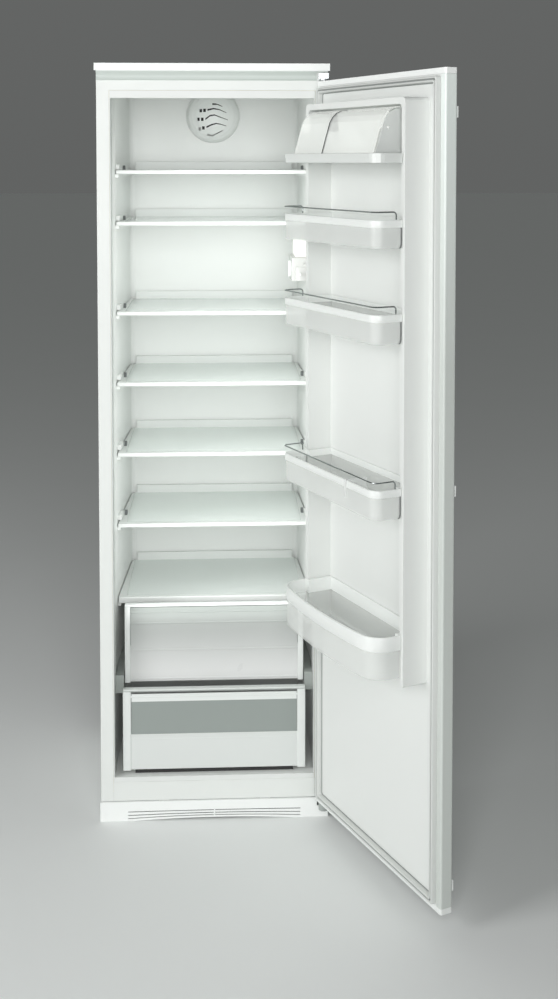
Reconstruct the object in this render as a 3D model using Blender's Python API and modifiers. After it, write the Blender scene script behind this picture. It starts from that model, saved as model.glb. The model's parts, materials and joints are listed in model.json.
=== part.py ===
"""Built-in larder refrigerator, door open: cabinet, shelves, drawers, door and balconies.

Metres, +Z up. Inside the script x runs to the right, y runs back from the cabinet's front plane
and z runs up from the floor. The cabinet datum moves that frame so that the world origin lies at
the middle of the cabinet's footprint. The door and all it carries are drawn closed and are then
turned about the hinge pins.
"""
import math

import bmesh
import bpy
from mathutils import Matrix, Vector

# Driving sizes of the cabinet
case_width = 0.532
case_height = 1.772
footprint_depth = 0.470
case_sheet = 0.0008
side_insulation = 0.0315
roof_insulation = 0.047
back_insulation = 0.038
cavity_draft = 0.014
cavity_straight = 0.140
cavity_floor = 0.103
mouth_drop = 0.029
liner_wall = 0.002

# Driving sizes of the door
door_bottom = 0.0475
door_head_gap = 0.039
door_thickness = 0.028
gasket_height = 0.012
dyke_height = 0.057
balcony_reach = 0.120
door_open_degrees = 113.7

# Levels of what stands in the cabinet: each shelf's rise over the one below, from the crisper
# cover up, as a share of the height between that cover and the ceiling
crisper_level = 0.4935
shelf_rise_shares = {
    "shelf_6": 0.146569,
    "shelf_5": 0.140479,
    "shelf_4": 0.139261,
    "shelf_3": 0.139261,
    "shelf_2": 0.175802,
    "shelf_1": 0.100284,
}

# Clearances shared by all pieces
seat_gap = 0.0003
overrun = 0.004
weld = 0.00002
arc_steps = 4
round_steps = 32
small_round_steps = 16

# Sizes worked out from the driving sizes
half_width = case_width / 2
inner_half = half_width - case_sheet - seat_gap
cavity_front_half = half_width - side_insulation
cavity_back_half = cavity_front_half - cavity_draft
cavity_depth = footprint_depth - back_insulation
cavity_ceiling = case_height - roof_insulation
cavity_room = cavity_ceiling - crisper_level
mouth_top = cavity_ceiling - mouth_drop
door_top = case_height - door_head_gap
door_inner = -gasket_height
door_outer = door_inner - door_thickness



def stack_up(start, rises):
    """Add up named rises from a starting level."""
    levels = {}
    level = start
    for name, rise in rises.items():
        level += rise
        levels[name] = level
    return levels


shelf_levels = stack_up(crisper_level, {name: cavity_room * share for name, share in shelf_rise_shares.items()})

MATERIAL_FINISHES = {
    "white_enamel": ((0.86, 0.87, 0.86), 0.32, 0.0, 1.0),
    "white_plastic": ((0.84, 0.85, 0.84), 0.42, 0.0, 1.0),
    "liner_plastic": ((0.80, 0.81, 0.80), 0.48, 0.0, 1.0),
    "grey_plastic": ((0.52, 0.54, 0.53), 0.5, 0.0, 1.0),
    "gasket_rubber": ((0.80, 0.81, 0.80), 0.7, 0.0, 1.0),
    "foam": ((0.86, 0.80, 0.58), 0.9, 0.0, 1.0),
    "zinc_steel": ((0.55, 0.56, 0.57), 0.35, 1.0, 1.0),
    "black_enamel": ((0.03, 0.03, 0.03), 0.4, 0.0, 1.0),
    "aluminium": ((0.75, 0.76, 0.77), 0.35, 1.0, 1.0),
    "chrome": ((0.62, 0.63, 0.63), 0.12, 1.0, 1.0),
    "shelf_glass": ((0.72, 0.84, 0.79), 0.05, 0.0, 0.4),
    "clear_plastic": ((0.78, 0.81, 0.80), 0.18, 0.0, 0.5),
    "lamp_plastic": ((0.93, 0.92, 0.88), 0.35, 0.0, 0.8),
}


# Scene, collections and materials
def clear_scene():
    """Remove every object that the scene holds."""
    for old in list(bpy.data.objects):
        bpy.data.objects.remove(old, do_unlink=True)


def new_collection(name):
    """Add a collection to the scene."""
    made = bpy.data.collections.new(name)
    bpy.context.scene.collection.children.link(made)
    return made


def make_material(name, colour, roughness, metallic, alpha):
    """Make a Principled material."""
    made = bpy.data.materials.new(name)
    made.use_nodes = True
    shader = made.node_tree.nodes["Principled BSDF"]
    shader.inputs["Base Color"].default_value = (*colour, 1.0)
    shader.inputs["Roughness"].default_value = roughness
    shader.inputs["Metallic"].default_value = metallic
    shader.inputs["Alpha"].default_value = alpha
    made.diffuse_color = (*colour, alpha)
    return made


clear_scene()
parts = new_collection("larder_refrigerator")
cutters = new_collection("cutters")
materials = {name: make_material(name, *finish) for name, finish in MATERIAL_FINISHES.items()}


# Carriers: empties that place the pieces
def new_empty(name, parent, place, turn=0.0):
    """Add an empty at a place under its parent, turned about the vertical."""
    made = bpy.data.objects.new(name, None)
    made.parent = parent
    made.location = place
    made.rotation_euler = (0.0, 0.0, turn)
    parts.objects.link(made)
    return made


def new_pivot(name, parent, place, turn=0.0):
    """Add a pivot empty on a joint's axis, and under it a datum with the parent's own frame."""
    pivot = new_empty(name + "_pivot", parent, place, turn)
    return new_empty(name + "_datum", pivot, -Vector(place))


# Builders of solids
def adopt(name, mesh, carrier, material=None):
    """Put a mesh on a carrier as a named part or, with no material, as a cutter."""
    made = bpy.data.objects.new(name, mesh)
    made.parent = carrier
    if material is None:
        cutters.objects.link(made)
        made.hide_render = True
        made.display_type = "WIRE"
        return made
    parts.objects.link(made)
    mesh.materials.append(materials[material])
    return made


def finish_bmesh(name, form, carrier, material=None):
    """Turn a bmesh into a part or a cutter."""
    mesh = bpy.data.meshes.new(name)
    form.to_mesh(mesh)
    form.free()
    return adopt(name, mesh, carrier, material)


def add_block(form, low, high):
    """Add one box between two corners to a bmesh."""
    low = Vector(low)
    high = Vector(high)
    size = high - low
    place = Matrix.Translation((low + high) / 2) @ Matrix.Diagonal((*size, 1.0))
    bmesh.ops.create_cube(form, size=1.0, matrix=place)


def blocks(name, spans, carrier, material=None):
    """Make separate boxes, each given by its low and high corner, as one object."""
    form = bmesh.new()
    for low, high in spans:
        add_block(form, low, high)
    return finish_bmesh(name, form, carrier, material)


def add_rod(form, start, end, radius, steps=small_round_steps, tip_radius=None):
    """Add one cylinder or cone between two points to a bmesh."""
    start = Vector(start)
    run = Vector(end) - start
    turn = run.to_track_quat("Z", "Y").to_matrix().to_4x4()
    place = Matrix.Translation(start + run / 2) @ turn
    tip = radius if tip_radius is None else tip_radius
    bmesh.ops.create_cone(
        form, cap_ends=True, segments=steps, radius1=radius, radius2=tip, depth=run.length, matrix=place
    )


def rods(name, spans, radius, carrier, material=None, steps=small_round_steps):
    """Make separate cylinders, each given by its two ends, as one object."""
    form = bmesh.new()
    for start, end in spans:
        add_rod(form, start, end, radius, steps)
    return finish_bmesh(name, form, carrier, material)


def rounded(corners, steps=arc_steps):
    """Turn corners (u, v, radius) of a closed outline into points, with an arc at each radius."""
    points = []
    for index, (u, v, radius) in enumerate(corners):
        corner = Vector((u, v))
        before = Vector(corners[index - 1][:2]) - corner
        after = Vector(corners[(index + 1) % len(corners)][:2]) - corner
        if not radius:
            points.append((u, v))
            continue
        half_angle = before.angle(after) / 2
        along = radius / math.tan(half_angle)
        first = corner + before.normalized() * along
        last = corner + after.normalized() * along
        centre = corner + (before.normalized() + after.normalized()).normalized() * (
            radius / math.sin(half_angle)
        )
        start = first - centre
        sweep = start.angle_signed(last - centre)
        for step in range(steps + 1):
            turned = start.copy()
            turned.rotate(Matrix.Rotation(-sweep * step / steps, 2))
            points.append(tuple(centre + turned))
    return points


def rectangle(low_u, high_u, low_v, high_v, radius=0.0):
    """Give the points of an upright rectangle with equal corner radii."""
    corners = [
        (low_u, low_v, radius),
        (high_u, low_v, radius),
        (high_u, high_v, radius),
        (low_u, high_v, radius),
    ]
    return rounded(corners)


# Each plane's curve frame, and the sign of its normal along the remaining world axis
PLANES = {
    "xy": (Matrix.Identity(4), 1),
    "xz": (Matrix.Rotation(math.pi / 2, 4, "X"), -1),
    "yz": (Matrix(((0, 0, 1, 0), (1, 0, 0, 0), (0, 1, 0, 0), (0, 0, 0, 1))), 1),
}


def mesh_of_curve(name, curve, place):
    """Convert a curve to a closed mesh in its final place."""
    draft = bpy.data.objects.new(name + "_draft", curve)
    bpy.context.scene.collection.objects.link(draft)
    graph = bpy.context.evaluated_depsgraph_get()
    mesh = bpy.data.meshes.new_from_object(draft.evaluated_get(graph))
    bpy.data.objects.remove(draft)
    mesh.name = name
    form = bmesh.new()
    form.from_mesh(mesh)
    bmesh.ops.remove_doubles(form, verts=form.verts, dist=weld)
    bmesh.ops.transform(form, matrix=place, verts=form.verts)
    bmesh.ops.recalc_face_normals(form, faces=form.faces)
    form.to_mesh(mesh)
    form.free()
    return mesh


def plate(name, outlines, low, high, plane, carrier, material=None):
    """Extrude flat outlines, the first outside and the rest holes, between two places."""
    curve = bpy.data.curves.new(name, "CURVE")
    curve.dimensions = "2D"
    curve.fill_mode = "BOTH"
    curve.extrude = (high - low) / 2
    for points in outlines:
        spline = curve.splines.new("POLY")
        spline.points.add(len(points) - 1)
        for point, (u, v) in zip(spline.points, points):
            point.co = (u, v, 0.0, 1.0)
        spline.use_cyclic_u = True
    frame, sign = PLANES[plane]
    place = frame @ Matrix.Translation((0.0, 0.0, sign * (low + high) / 2))
    return adopt(name, mesh_of_curve(name, curve, place), carrier, material)


def tube(name, points, radius, carrier, material=None, resolution=2):
    """Make a round wire or pipe along points, with filled ends."""
    curve = bpy.data.curves.new(name, "CURVE")
    curve.dimensions = "3D"
    curve.bevel_depth = radius
    curve.bevel_resolution = resolution
    curve.use_fill_caps = True
    spline = curve.splines.new("POLY")
    spline.points.add(len(points) - 1)
    for point, place in zip(spline.points, points):
        point.co = (*place, 1.0)
    made = adopt(name, mesh_of_curve(name, curve, Matrix.Identity(4)), carrier, material)
    made.data.shade_smooth()
    return made


def turned(name, profile, place, carrier, material=None, tilt=(0.0, 0.0, 0.0), steps=round_steps):
    """Turn a profile (radius, height), listed from the top down its outer side, about its axis."""
    form = bmesh.new()
    line = [form.verts.new((radius, 0.0, height)) for radius, height in profile]
    for first, second in zip(line, line[1:]):
        form.edges.new((first, second))
    closed = all(radius > weld for radius, height in profile)
    if closed:
        form.edges.new((line[-1], line[0]))
    made = finish_bmesh(name, form, carrier, material)
    made.location = place
    made.rotation_euler = tilt
    screw = made.modifiers.new("turn", "SCREW")
    screw.steps = steps
    screw.render_steps = steps
    screw.use_merge_vertices = True
    screw.merge_threshold = weld
    screw.use_smooth_shade = True
    return made


def combine(target, other, operation):
    """Add a live exact Boolean to a solid."""
    step = target.modifiers.new(other.name, "BOOLEAN")
    step.operation = operation
    step.object = other
    step.solver = "EXACT"
    return target


def cut(target, other):
    """Take another solid away."""
    return combine(target, other, "DIFFERENCE")


def join(target, other):
    """Unite with another solid."""
    return combine(target, other, "UNION")


def soften(target, width, segments=2, angle_degrees=50):
    """Round the sharp edges of a solid."""
    bevel = target.modifiers.new("soft_edges", "BEVEL")
    bevel.width = width
    bevel.segments = segments
    bevel.limit_method = "ANGLE"
    bevel.angle_limit = math.radians(angle_degrees)
    return target


def mirror_across_middle(target):
    """Add the mirror image across the middle of the cabinet."""
    mirror = target.modifiers.new("other_side", "MIRROR")
    mirror.use_axis = (True, False, False)
    mirror.merge_threshold = weld
    return target


cabinet = new_empty("cabinet_datum", None, (0.0, -footprint_depth / 2, 0.0))

# Liner sizes
lip_depth = 0.018
top_lip_height = 0.0172
sill_bottom = 0.0915
step_wall = 0.045
step_height = 0.300
liner_corner = 0.014
flange_gap = 0.0005
rib_reach = 0.008
rib_height = 0.008
rib_front = 0.130
rib_end_gap = 0.008
nub_front = 0.150
nub_back = 0.196
nub_height = 0.012
nub_lift = 0.001
shelf_side_gap = 0.0015
shelf_edge_height = 0.0095
crisper_edge_height = 0.0155
bay_depth = 0.155
bay_front = footprint_depth - bay_depth
step_depth = bay_front - step_wall
rib_back = cavity_depth - rib_end_gap
flange_half = cavity_front_half + liner_wall + flange_gap
flange_top = mouth_top + top_lip_height + flange_gap
flange_bottom = 0.0460


def wall_half(y):
    """Give half the cavity's width at a depth: straight in front, then drawn in towards the back."""
    if y <= cavity_straight:
        return cavity_front_half
    share = (y - cavity_straight) / (cavity_depth - cavity_straight)
    return cavity_front_half + (cavity_back_half - cavity_front_half) * share


def liner_form(name, grow, front, lip_z, sill_z):
    """Make the cavity's form: its side section and its plan, each extruded, and their common part."""
    corner = liner_corner + grow
    depth = cavity_depth + grow
    section = rounded(
        [
            (front, sill_z, 0.0),
            (lip_depth, sill_z, 0.0),
            (lip_depth, cavity_floor - grow, 0.0),
            (step_depth + grow, cavity_floor - grow, corner),
            (step_depth + grow, step_height - grow, liner_corner),
            (depth, step_height - grow, corner),
            (depth, cavity_ceiling + grow, 0.0),
            (lip_depth - grow, cavity_ceiling + grow, 0.0),
            (lip_depth - grow, lip_z, 0.0),
            (front, lip_z, 0.0),
        ]
        if sill_z < cavity_floor
        else [
            (front, cavity_floor, 0.0),
            (step_depth, cavity_floor, corner),
            (step_depth, step_height, liner_corner),
            (depth, step_height, corner),
            (depth, cavity_ceiling, 0.0),
            (lip_depth, cavity_ceiling, 0.0),
            (lip_depth, lip_z, 0.0),
            (front, lip_z, 0.0),
        ]
    )
    plan = rounded(
        [
            (-cavity_front_half - grow, front - overrun, 0.0),
            (cavity_front_half + grow, front - overrun, 0.0),
            (cavity_front_half + grow, cavity_straight, 0.0),
            (cavity_back_half + grow, depth, corner),
            (-cavity_back_half - grow, depth, corner),
            (-cavity_front_half - grow, cavity_straight, 0.0),
        ]
    )
    form = plate(name, [section], -half_width, half_width, "yz", cabinet)
    around = plate(name + "_plan", [plan], 0.0, case_height, "xy", cabinet)
    return combine(form, around, "INTERSECT")


def rib_plan(front, back):
    """Give the plan of a rib on the right wall, rooted in the wall."""
    root = liner_wall / 2
    stations = [front, cavity_straight, back] if front < cavity_straight else [front, back]
    outer = [(wall_half(y) + root, y) for y in stations]
    inner = [(wall_half(y) - rib_reach, y) for y in reversed(stations)]
    return outer + inner


def all_levels():
    """Give each shelf's level and the height of its frame's edge."""
    levels = [(level, shelf_edge_height) for level in shelf_levels.values()]
    return levels + [(crisper_level, crisper_edge_height)]


def make_liner():
    """Make the inner liner: a thin formed tub with ledges and keeper nubs at each shelf."""
    lip_top = mouth_top + top_lip_height
    liner = liner_form("liner_outside", liner_wall, 0.0, lip_top, sill_bottom)
    cavity = liner_form("liner_inside", 0.0, -overrun, mouth_top, cavity_floor)
    mesh = evaluated_mesh(liner)
    liner = adopt("inner_liner", mesh, cabinet, "liner_plastic")
    cut(liner, cavity)
    for index, (level, edge_height) in enumerate(all_levels()):
        top = level - edge_height - seat_gap
        ledge = plate(f"ledge_{index}", [rib_plan(rib_front, rib_back)], top - rib_height, top, "xy", cabinet)
        join(liner, mirror_across_middle(ledge))
        if index < len(shelf_levels):
            low = level + nub_lift
            nub = plate(f"nub_{index}", [rib_plan(nub_front, nub_back)], low, low + nub_height, "xy", cabinet)
            join(liner, mirror_across_middle(nub))
    return liner


def evaluated_mesh(source):
    """Give a solid's mesh with its modifiers applied, in its carrier's frame."""
    bpy.context.view_layer.update()
    graph = bpy.context.evaluated_depsgraph_get()
    mesh = bpy.data.meshes.new_from_object(source.evaluated_get(graph))
    mesh.transform(source.matrix_local)
    return mesh


# Base sizes
base_sheet = 0.0012
base_front = 0.030
deck_height = 0.0575
bay_top = 0.245
vent_height = 0.026
vent_width = 0.110
vent_pitch = 0.150
vent_rise = 0.012
back_edge = footprint_depth - case_sheet - seat_gap


def bent_strip(path, thickness):
    """Give the outline of a bent sheet whose right angles turn along a path, thick to its right."""
    other = []
    for index, point in enumerate(path):
        corner = Vector(point)
        shift = Vector((0.0, 0.0))
        if index > 0:
            run = (corner - Vector(path[index - 1])).normalized()
            shift += Vector((run.y, -run.x)) * thickness
        if index < len(path) - 1:
            run = (Vector(path[index + 1]) - corner).normalized()
            side = Vector((run.y, -run.x)) * thickness
            if index == 0 or abs(side.dot(shift)) < thickness * thickness / 2:
                shift += side
        other.append(tuple(corner + shift))
    return list(path) + other[::-1]


def make_base():
    """Make the base: a flat plate, a vented front wall, the deck and the compressor bay's walls."""
    path = [
        (back_edge, 0.0),
        (base_front, 0.0),
        (base_front, deck_height),
        (bay_front, deck_height),
        (bay_front, bay_top),
        (back_edge, bay_top),
    ]
    base = plate("base_frame", [bent_strip(path, base_sheet)], -inner_half, inner_half, "yz", cabinet, "zinc_steel")
    vents = []
    for place in (-1, 0, 1):
        middle = place * vent_pitch
        low = (middle - vent_width / 2, base_front - overrun, vent_rise)
        high = (middle + vent_width / 2, base_front + overrun, vent_rise + vent_height)
        vents.append((low, high))
    return cut(base, blocks("base_vents", vents, cabinet))


def make_case():
    """Make the outer case: two sides and the top of one folded sheet, with the front flange."""
    case = blocks(
        "outer_case",
        [((-half_width, 0.0, seat_gap), (half_width, footprint_depth, case_height))],
        cabinet,
        "white_enamel",
    )
    inside = half_width - case_sheet
    room = ((-inside, case_sheet, -overrun), (inside, footprint_depth + overrun, case_height - case_sheet))
    mouth = ((-flange_half, -overrun, -overrun), (flange_half, case_sheet * 2, flange_top))
    foot = ((-inside, -overrun, -overrun), (inside, case_sheet * 2, flange_bottom))
    cut(case, blocks("case_room", [room], cabinet))
    cut(case, blocks("case_mouth", [mouth], cabinet))
    return cut(case, blocks("case_foot", [foot], cabinet))


# Back panel and its pressed stiffening ribs
swage_rise = 0.0012
swage_width = 0.018
swage_count = 3
swage_side_share = 0.86


def make_back_panel():
    """Make the steel back panel above the compressor bay, with ribs pressed out of the sheet."""
    low_z = bay_top + seat_gap
    high_z = case_height - case_sheet - seat_gap
    inside = footprint_depth - case_sheet
    panel = blocks(
        "back_panel",
        [((-inner_half, inside, low_z), (inner_half, footprint_depth, high_z))],
        cabinet,
        "zinc_steel",
    )
    outer = []
    inner = []
    for index in range(swage_count):
        middle = low_z + (high_z - low_z) * (index + 1) / (swage_count + 1)
        reach = inner_half * swage_side_share
        half = swage_width / 2
        low = (-reach, inside + case_sheet / 2, middle - half)
        outer.append((low, (reach, footprint_depth + swage_rise, middle + half)))
        low = (-reach + case_sheet, inside - overrun, middle - half + case_sheet)
        high = (reach - case_sheet, footprint_depth + swage_rise - case_sheet, middle + half - case_sheet)
        inner.append((low, high))
    join(panel, blocks("back_ribs", outer, cabinet))
    return cut(panel, blocks("back_rib_hollows", inner, cabinet))


# Evaporator sizes
evaporator_side_gap = 0.0355
evaporator_low = 0.560
evaporator_head_gap = 0.165
evaporator_sheet = 0.0015
channel_width = 0.008
channel_rise = 0.002
channel_count = 7
evaporator_half = cavity_back_half - evaporator_side_gap
evaporator_high = cavity_ceiling - evaporator_head_gap


def make_evaporator():
    """Make the roll-bond evaporator: a plate with raised refrigerant channels, behind the liner."""
    front = cavity_depth + liner_wall + seat_gap
    back = front + evaporator_sheet
    plate_low = (-evaporator_half, front, evaporator_low)
    evaporator = blocks("evaporator_plate", [(plate_low, (evaporator_half, back, evaporator_high))], cabinet, "aluminium")
    pitch = (evaporator_high - evaporator_low) / (channel_count + 1)
    reach = evaporator_half - 2 * channel_width
    runs = []
    for index in range(channel_count):
        middle = evaporator_low + pitch * (index + 1)
        low = (-reach, back - evaporator_sheet / 2, middle - channel_width / 2)
        high = (reach, back + channel_rise, middle + channel_width / 2)
        runs.append((low, high))
    return join(evaporator, blocks("evaporator_channels", runs, cabinet))


# Front rail between the case's side flanges
rail_bottom = 0.0462
rail_depth = 0.020
rail_sheet = 0.0012
rail_top = sill_bottom - seat_gap


def make_front_rail():
    """Make the lower front rail, a channel open to the back."""
    reach = flange_half - seat_gap
    rail = blocks(
        "lower_front_rail", [((-reach, 0.0, rail_bottom), (reach, rail_depth, rail_top))], cabinet, "white_enamel"
    )
    low = (-reach - overrun, rail_sheet, rail_bottom + rail_sheet)
    high = (reach + overrun, rail_depth + overrun, rail_top - rail_sheet)
    return cut(rail, blocks("rail_channel", [(low, high)], cabinet))


def make_foam():
    """Make the insulation that fills the wall between case, liner, base and back panel."""
    low = (-inner_half, case_sheet + seat_gap, deck_height + seat_gap)
    high = (inner_half, back_edge, case_height - case_sheet - seat_gap)
    foam = blocks("insulation_foam", [(low, high)], cabinet, "foam")
    lip_top = mouth_top + top_lip_height + seat_gap
    tub = liner_form("foam_tub", liner_wall + seat_gap, -overrun, lip_top, deck_height)
    cut(foam, tub)
    bay = ((-half_width, bay_front - seat_gap, 0.0), (half_width, footprint_depth, bay_top + seat_gap))
    front = ((-half_width, -overrun, 0.0), (half_width, rail_depth + seat_gap, rail_top + seat_gap * 2))
    behind = cavity_depth + liner_wall
    pocket_low = (-evaporator_half - seat_gap, behind - overrun, evaporator_low - seat_gap)
    pocket_high = (
        evaporator_half + seat_gap,
        behind + evaporator_sheet + channel_rise + seat_gap * 2,
        evaporator_high + seat_gap,
    )
    cut(foam, blocks("foam_bay", [bay], cabinet))
    cut(foam, blocks("foam_front", [front], cabinet))
    return cut(foam, blocks("foam_pocket", [(pocket_low, pocket_high)], cabinet))


# Top trim sizes
trim_overhang = 0.004
trim_rise = 0.003
trim_height = 0.0385
strip_height = 0.0165
trim_half = half_width + trim_overhang
trim_top = case_height + trim_rise
trim_bottom = trim_top - trim_height
strip_bottom = trim_top - strip_height
strip_reach = 0.010
trim_tail = 0.025
cove_top_reach = 0.0085
cove_foot_reach = 0.003
cove_sag = 0.0035
cove_steps = 6

# Hinge sizes
pivot_inset = 0.010
pivot_x = half_width - pivot_inset
pivot_y = door_inner - door_thickness / 2
pin_radius = 0.004
pin_clearance = 0.0001
pin_length = 0.020
hinge_plate = 0.003
hinge_half = 0.012
hinge_leg_height = 0.018
hinge_leg_gap = 0.0012
hinge_head_gap = 0.0028
top_plate_bottom = door_top + hinge_head_gap
bottom_plate_thickness = 0.004
bottom_plate_top = rail_bottom - seat_gap
bottom_plate_half = 0.0155
bottom_plate_tail = base_front - seat_gap * 2
hinge_boss_height = 0.014


def make_top_trim():
    """Make the top trim: a strip that overhangs the case, and a cove below it."""
    cove = []
    for step in range(cove_steps + 1):
        share = step / cove_steps
        reach = cove_foot_reach + (cove_top_reach - cove_foot_reach) * share
        sag = cove_sag * math.sin(math.pi * share)
        cove.append((-reach + sag, trim_bottom + (strip_bottom - trim_bottom) * share))
    profile = cove + [
        (-strip_reach, strip_bottom),
        (-strip_reach, trim_top),
        (trim_tail, trim_top),
        (trim_tail, case_height + seat_gap),
        (-seat_gap, case_height + seat_gap),
        (-seat_gap, trim_bottom),
    ]
    trim = plate("top_trim", [profile], -trim_half, trim_half, "yz", cabinet, "white_plastic")
    ends = []
    for side in (-1, 1):
        near = side * half_width
        far = side * (trim_half + overrun)
        low = (min(near, far), -strip_reach - overrun, trim_bottom - overrun)
        ends.append((low, (max(near, far), 0.0, strip_bottom)))
    notch = (
        (pivot_x - hinge_half - overrun, -strip_reach - overrun, trim_bottom - overrun),
        (half_width + overrun / 2, 0.0, top_plate_bottom + hinge_leg_height + hinge_leg_gap),
    )
    cut(trim, blocks("trim_ends", ends, cabinet))
    return cut(trim, blocks("trim_notch", [notch], cabinet))


def hinge_plan(half, tail):
    """Give the plan of a hinge plate: a half-round nose about the pin and a tail inside the case."""
    nose = []
    for step in range(arc_steps * 2 + 1):
        angle = math.pi * step / (arc_steps * 2)
        nose.append((pivot_x + half * math.cos(angle), pivot_y - half * math.sin(angle)))
    edge = min(pivot_x + half, inner_half)
    return nose + [(pivot_x - half, tail), (edge, tail), (edge, -seat_gap * 2), (pivot_x + half, -seat_gap * 2)]


def make_top_hinge():
    """Make the top hinge bracket: plate, leg on the case's front and a pin down into the door."""
    high = top_plate_bottom + hinge_plate
    outline = hinge_plan(hinge_half - seat_gap * 2, -seat_gap)
    bracket = plate("top_hinge_bracket", [outline], top_plate_bottom, high, "xy", cabinet, "zinc_steel")
    reach = hinge_half - seat_gap * 2
    leg_low = (pivot_x - reach, -seat_gap - hinge_plate, top_plate_bottom + hinge_plate / 2)
    leg_high = (pivot_x + reach, -seat_gap, top_plate_bottom + hinge_leg_height)
    pin_top = (pivot_x, pivot_y, high - hinge_plate / 2)
    pin_foot = (pivot_x, pivot_y, door_top - pin_length + hinge_plate)
    join(bracket, blocks("top_hinge_leg", [(leg_low, leg_high)], cabinet))
    return join(bracket, rods("top_hinge_pin", [(pin_top, pin_foot)], pin_radius, cabinet, steps=round_steps))


def make_bottom_hinge():
    """Make the bottom hinge bracket: plate under the rail, boss below and a pin up into the door."""
    low = bottom_plate_top - bottom_plate_thickness
    outline = hinge_plan(hinge_half - seat_gap, bottom_plate_tail)
    bracket = plate("bottom_hinge_bracket", [outline], low, bottom_plate_top, "xy", cabinet, "grey_plastic")
    boss_foot = (pivot_x, pivot_y, low - hinge_boss_height)
    boss_head = (pivot_x, pivot_y, low + bottom_plate_thickness / 2)
    boss = rods("hinge_boss", [(boss_foot, boss_head)], hinge_half - seat_gap * 2, cabinet, steps=round_steps)
    pin_top = (pivot_x, pivot_y, door_bottom + pin_length - hinge_plate)
    pin = rods("bottom_hinge_pin", [(boss_head, pin_top)], pin_radius, cabinet, steps=round_steps)
    join(bracket, boss)
    return join(bracket, pin)


# Grille sizes
grille_overhang = 0.002
grille_half = half_width + grille_overhang
grille_top = 0.0455
grille_front = -0.0065
grille_panel = 0.0025
grille_back = -seat_gap
arch_margin = 0.082
arch_half = grille_half - arch_margin
arch_rise = 0.0055
slot_margin = 0.065
slot_half = grille_half - slot_margin
slot_height = 0.0022
slot_rows = ((0.0219, 0.0228), (0.0135, 0.0165), (0.0058, 0.0110))
slot_rib = 0.003
slot_steps = 6
clip_half = 0.012
clip_place = 0.120
clip_low = 0.030
clip_high = 0.040


def arch_height(x, half, rise):
    """Give an arch's height over its springing line."""
    share = min(abs(x) / half, 1.0)
    return rise * (1.0 - share * share)


def grille_outline(inset):
    """Give the grille's front outline, arched below, drawn in all round by an inset."""
    points = [(-grille_half + inset, grille_top - inset), (-grille_half + inset, seat_gap + inset)]
    steps = slot_steps + slot_steps
    span = arch_half + arch_half
    for step in range(steps + 1):
        x = span * step / steps - arch_half
        points.append((x, seat_gap + inset + arch_height(x, arch_half, arch_rise)))
    return points + [(grille_half - inset, seat_gap + inset), (grille_half - inset, grille_top - inset)]


def slot_outline(side, end_z, middle_z):
    """Give one half of an arched slot, on one side of the middle rib."""
    lower = []
    upper = []
    for step in range(slot_steps + 1):
        x = slot_rib / 2 + (slot_half - slot_rib / 2) * step / slot_steps
        z = end_z + arch_height(x, slot_half, middle_z - end_z)
        lower.append((side * x, z - slot_height / 2))
        upper.append((side * x, z + slot_height / 2))
    return lower + upper[::-1]


def make_grille():
    """Make the ventilation grille: a shallow tray with an arched foot and three arched slots."""
    grille = plate("base_grille", [grille_outline(0.0)], grille_front, grille_back, "xz", cabinet, "white_plastic")
    hollow_front = grille_front + grille_panel
    hollow = plate(
        "grille_hollow", [grille_outline(grille_panel)], hollow_front, grille_back + overrun, "xz", cabinet
    )
    cut(grille, hollow)
    for row, (end_z, middle_z) in enumerate(slot_rows):
        for side in (-1, 1):
            outline = slot_outline(side, end_z, middle_z)
            name = f"grille_slot_{row}_{side + 1}"
            cut(grille, plate(name, [outline], grille_front - overrun, grille_back, "xz", cabinet))
    clips = []
    for side in (-1, 1):
        middle = side * clip_place
        low = (middle - clip_half, hollow_front - grille_panel / 2, clip_low)
        clips.append((low, (middle + clip_half, base_front - seat_gap, clip_high)))
    join(grille, blocks("grille_clips", clips, cabinet))
    plate_low = bottom_plate_top - bottom_plate_thickness - hinge_boss_height
    notch = (
        (pivot_x - hinge_half - overrun / 2, grille_front - overrun, plate_low - seat_gap * 2),
        (pivot_x + hinge_half + overrun / 4, overrun, grille_top + overrun),
    )
    return cut(grille, blocks("grille_notch", [notch], cabinet))


# Fan sizes
fan_x = -0.002
fan_drop = 0.056
fan_z = cavity_ceiling - fan_drop
dome_radius = 0.070
dome_depth = 0.035
dome_wall = 0.002
dome_fullness_share = 2.4
dome_steps = 7
dome_round_steps = 40
motor_radius = 0.022
motor_depth = 0.011
shaft_radius = 0.002
shaft_length = 0.021
shaft_clearance = 0.0001
impeller_radius = 0.045
hub_radius = 0.012
hub_depth = 0.009
blade_count = 7
blade_sheet = 0.0014
blade_pitch_degrees = 38
louvre_width = 0.0048
louvre_tip_width = 0.0015
short_slot = 0.0065
short_slot_height = 0.0085
# Louvre lines as shares of the dome's radius: points of each long slot from left to right
louvre_shares = (
    ((-0.02, 0.435), (0.16, 0.43), (0.36, 0.34)),
    ((-0.20, 0.215), (0.02, 0.265), (0.24, 0.23), (0.50, 0.115)),
    ((-0.28, -0.125), (-0.10, 0.005), (0.06, 0.03), (0.30, -0.06), (0.56, -0.155)),
    ((-0.24, -0.42), (-0.06, -0.335), (0.12, -0.285), (0.30, -0.315), (0.50, -0.38)),
    ((-0.21, -0.70), (-0.02, -0.74), (0.18, -0.64), (0.40, -0.53)),
)
# Middles of the two short slots left of the second, third and fourth louvre, as shares
short_slot_shares = (
    ((-0.45, 0.19), (-0.31, 0.20)),
    ((-0.54, -0.13), (-0.395, -0.13)),
    ((-0.49, -0.49), (-0.355, -0.45)),
)


def dome_height(radius, depth, fullness_radius):
    """Give the height of a full dome over its rim at a distance from the axis."""
    share = min(radius / fullness_radius, 1.0)
    return depth * (1.0 - share**dome_fullness_share) ** (1.0 / dome_fullness_share)


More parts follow.
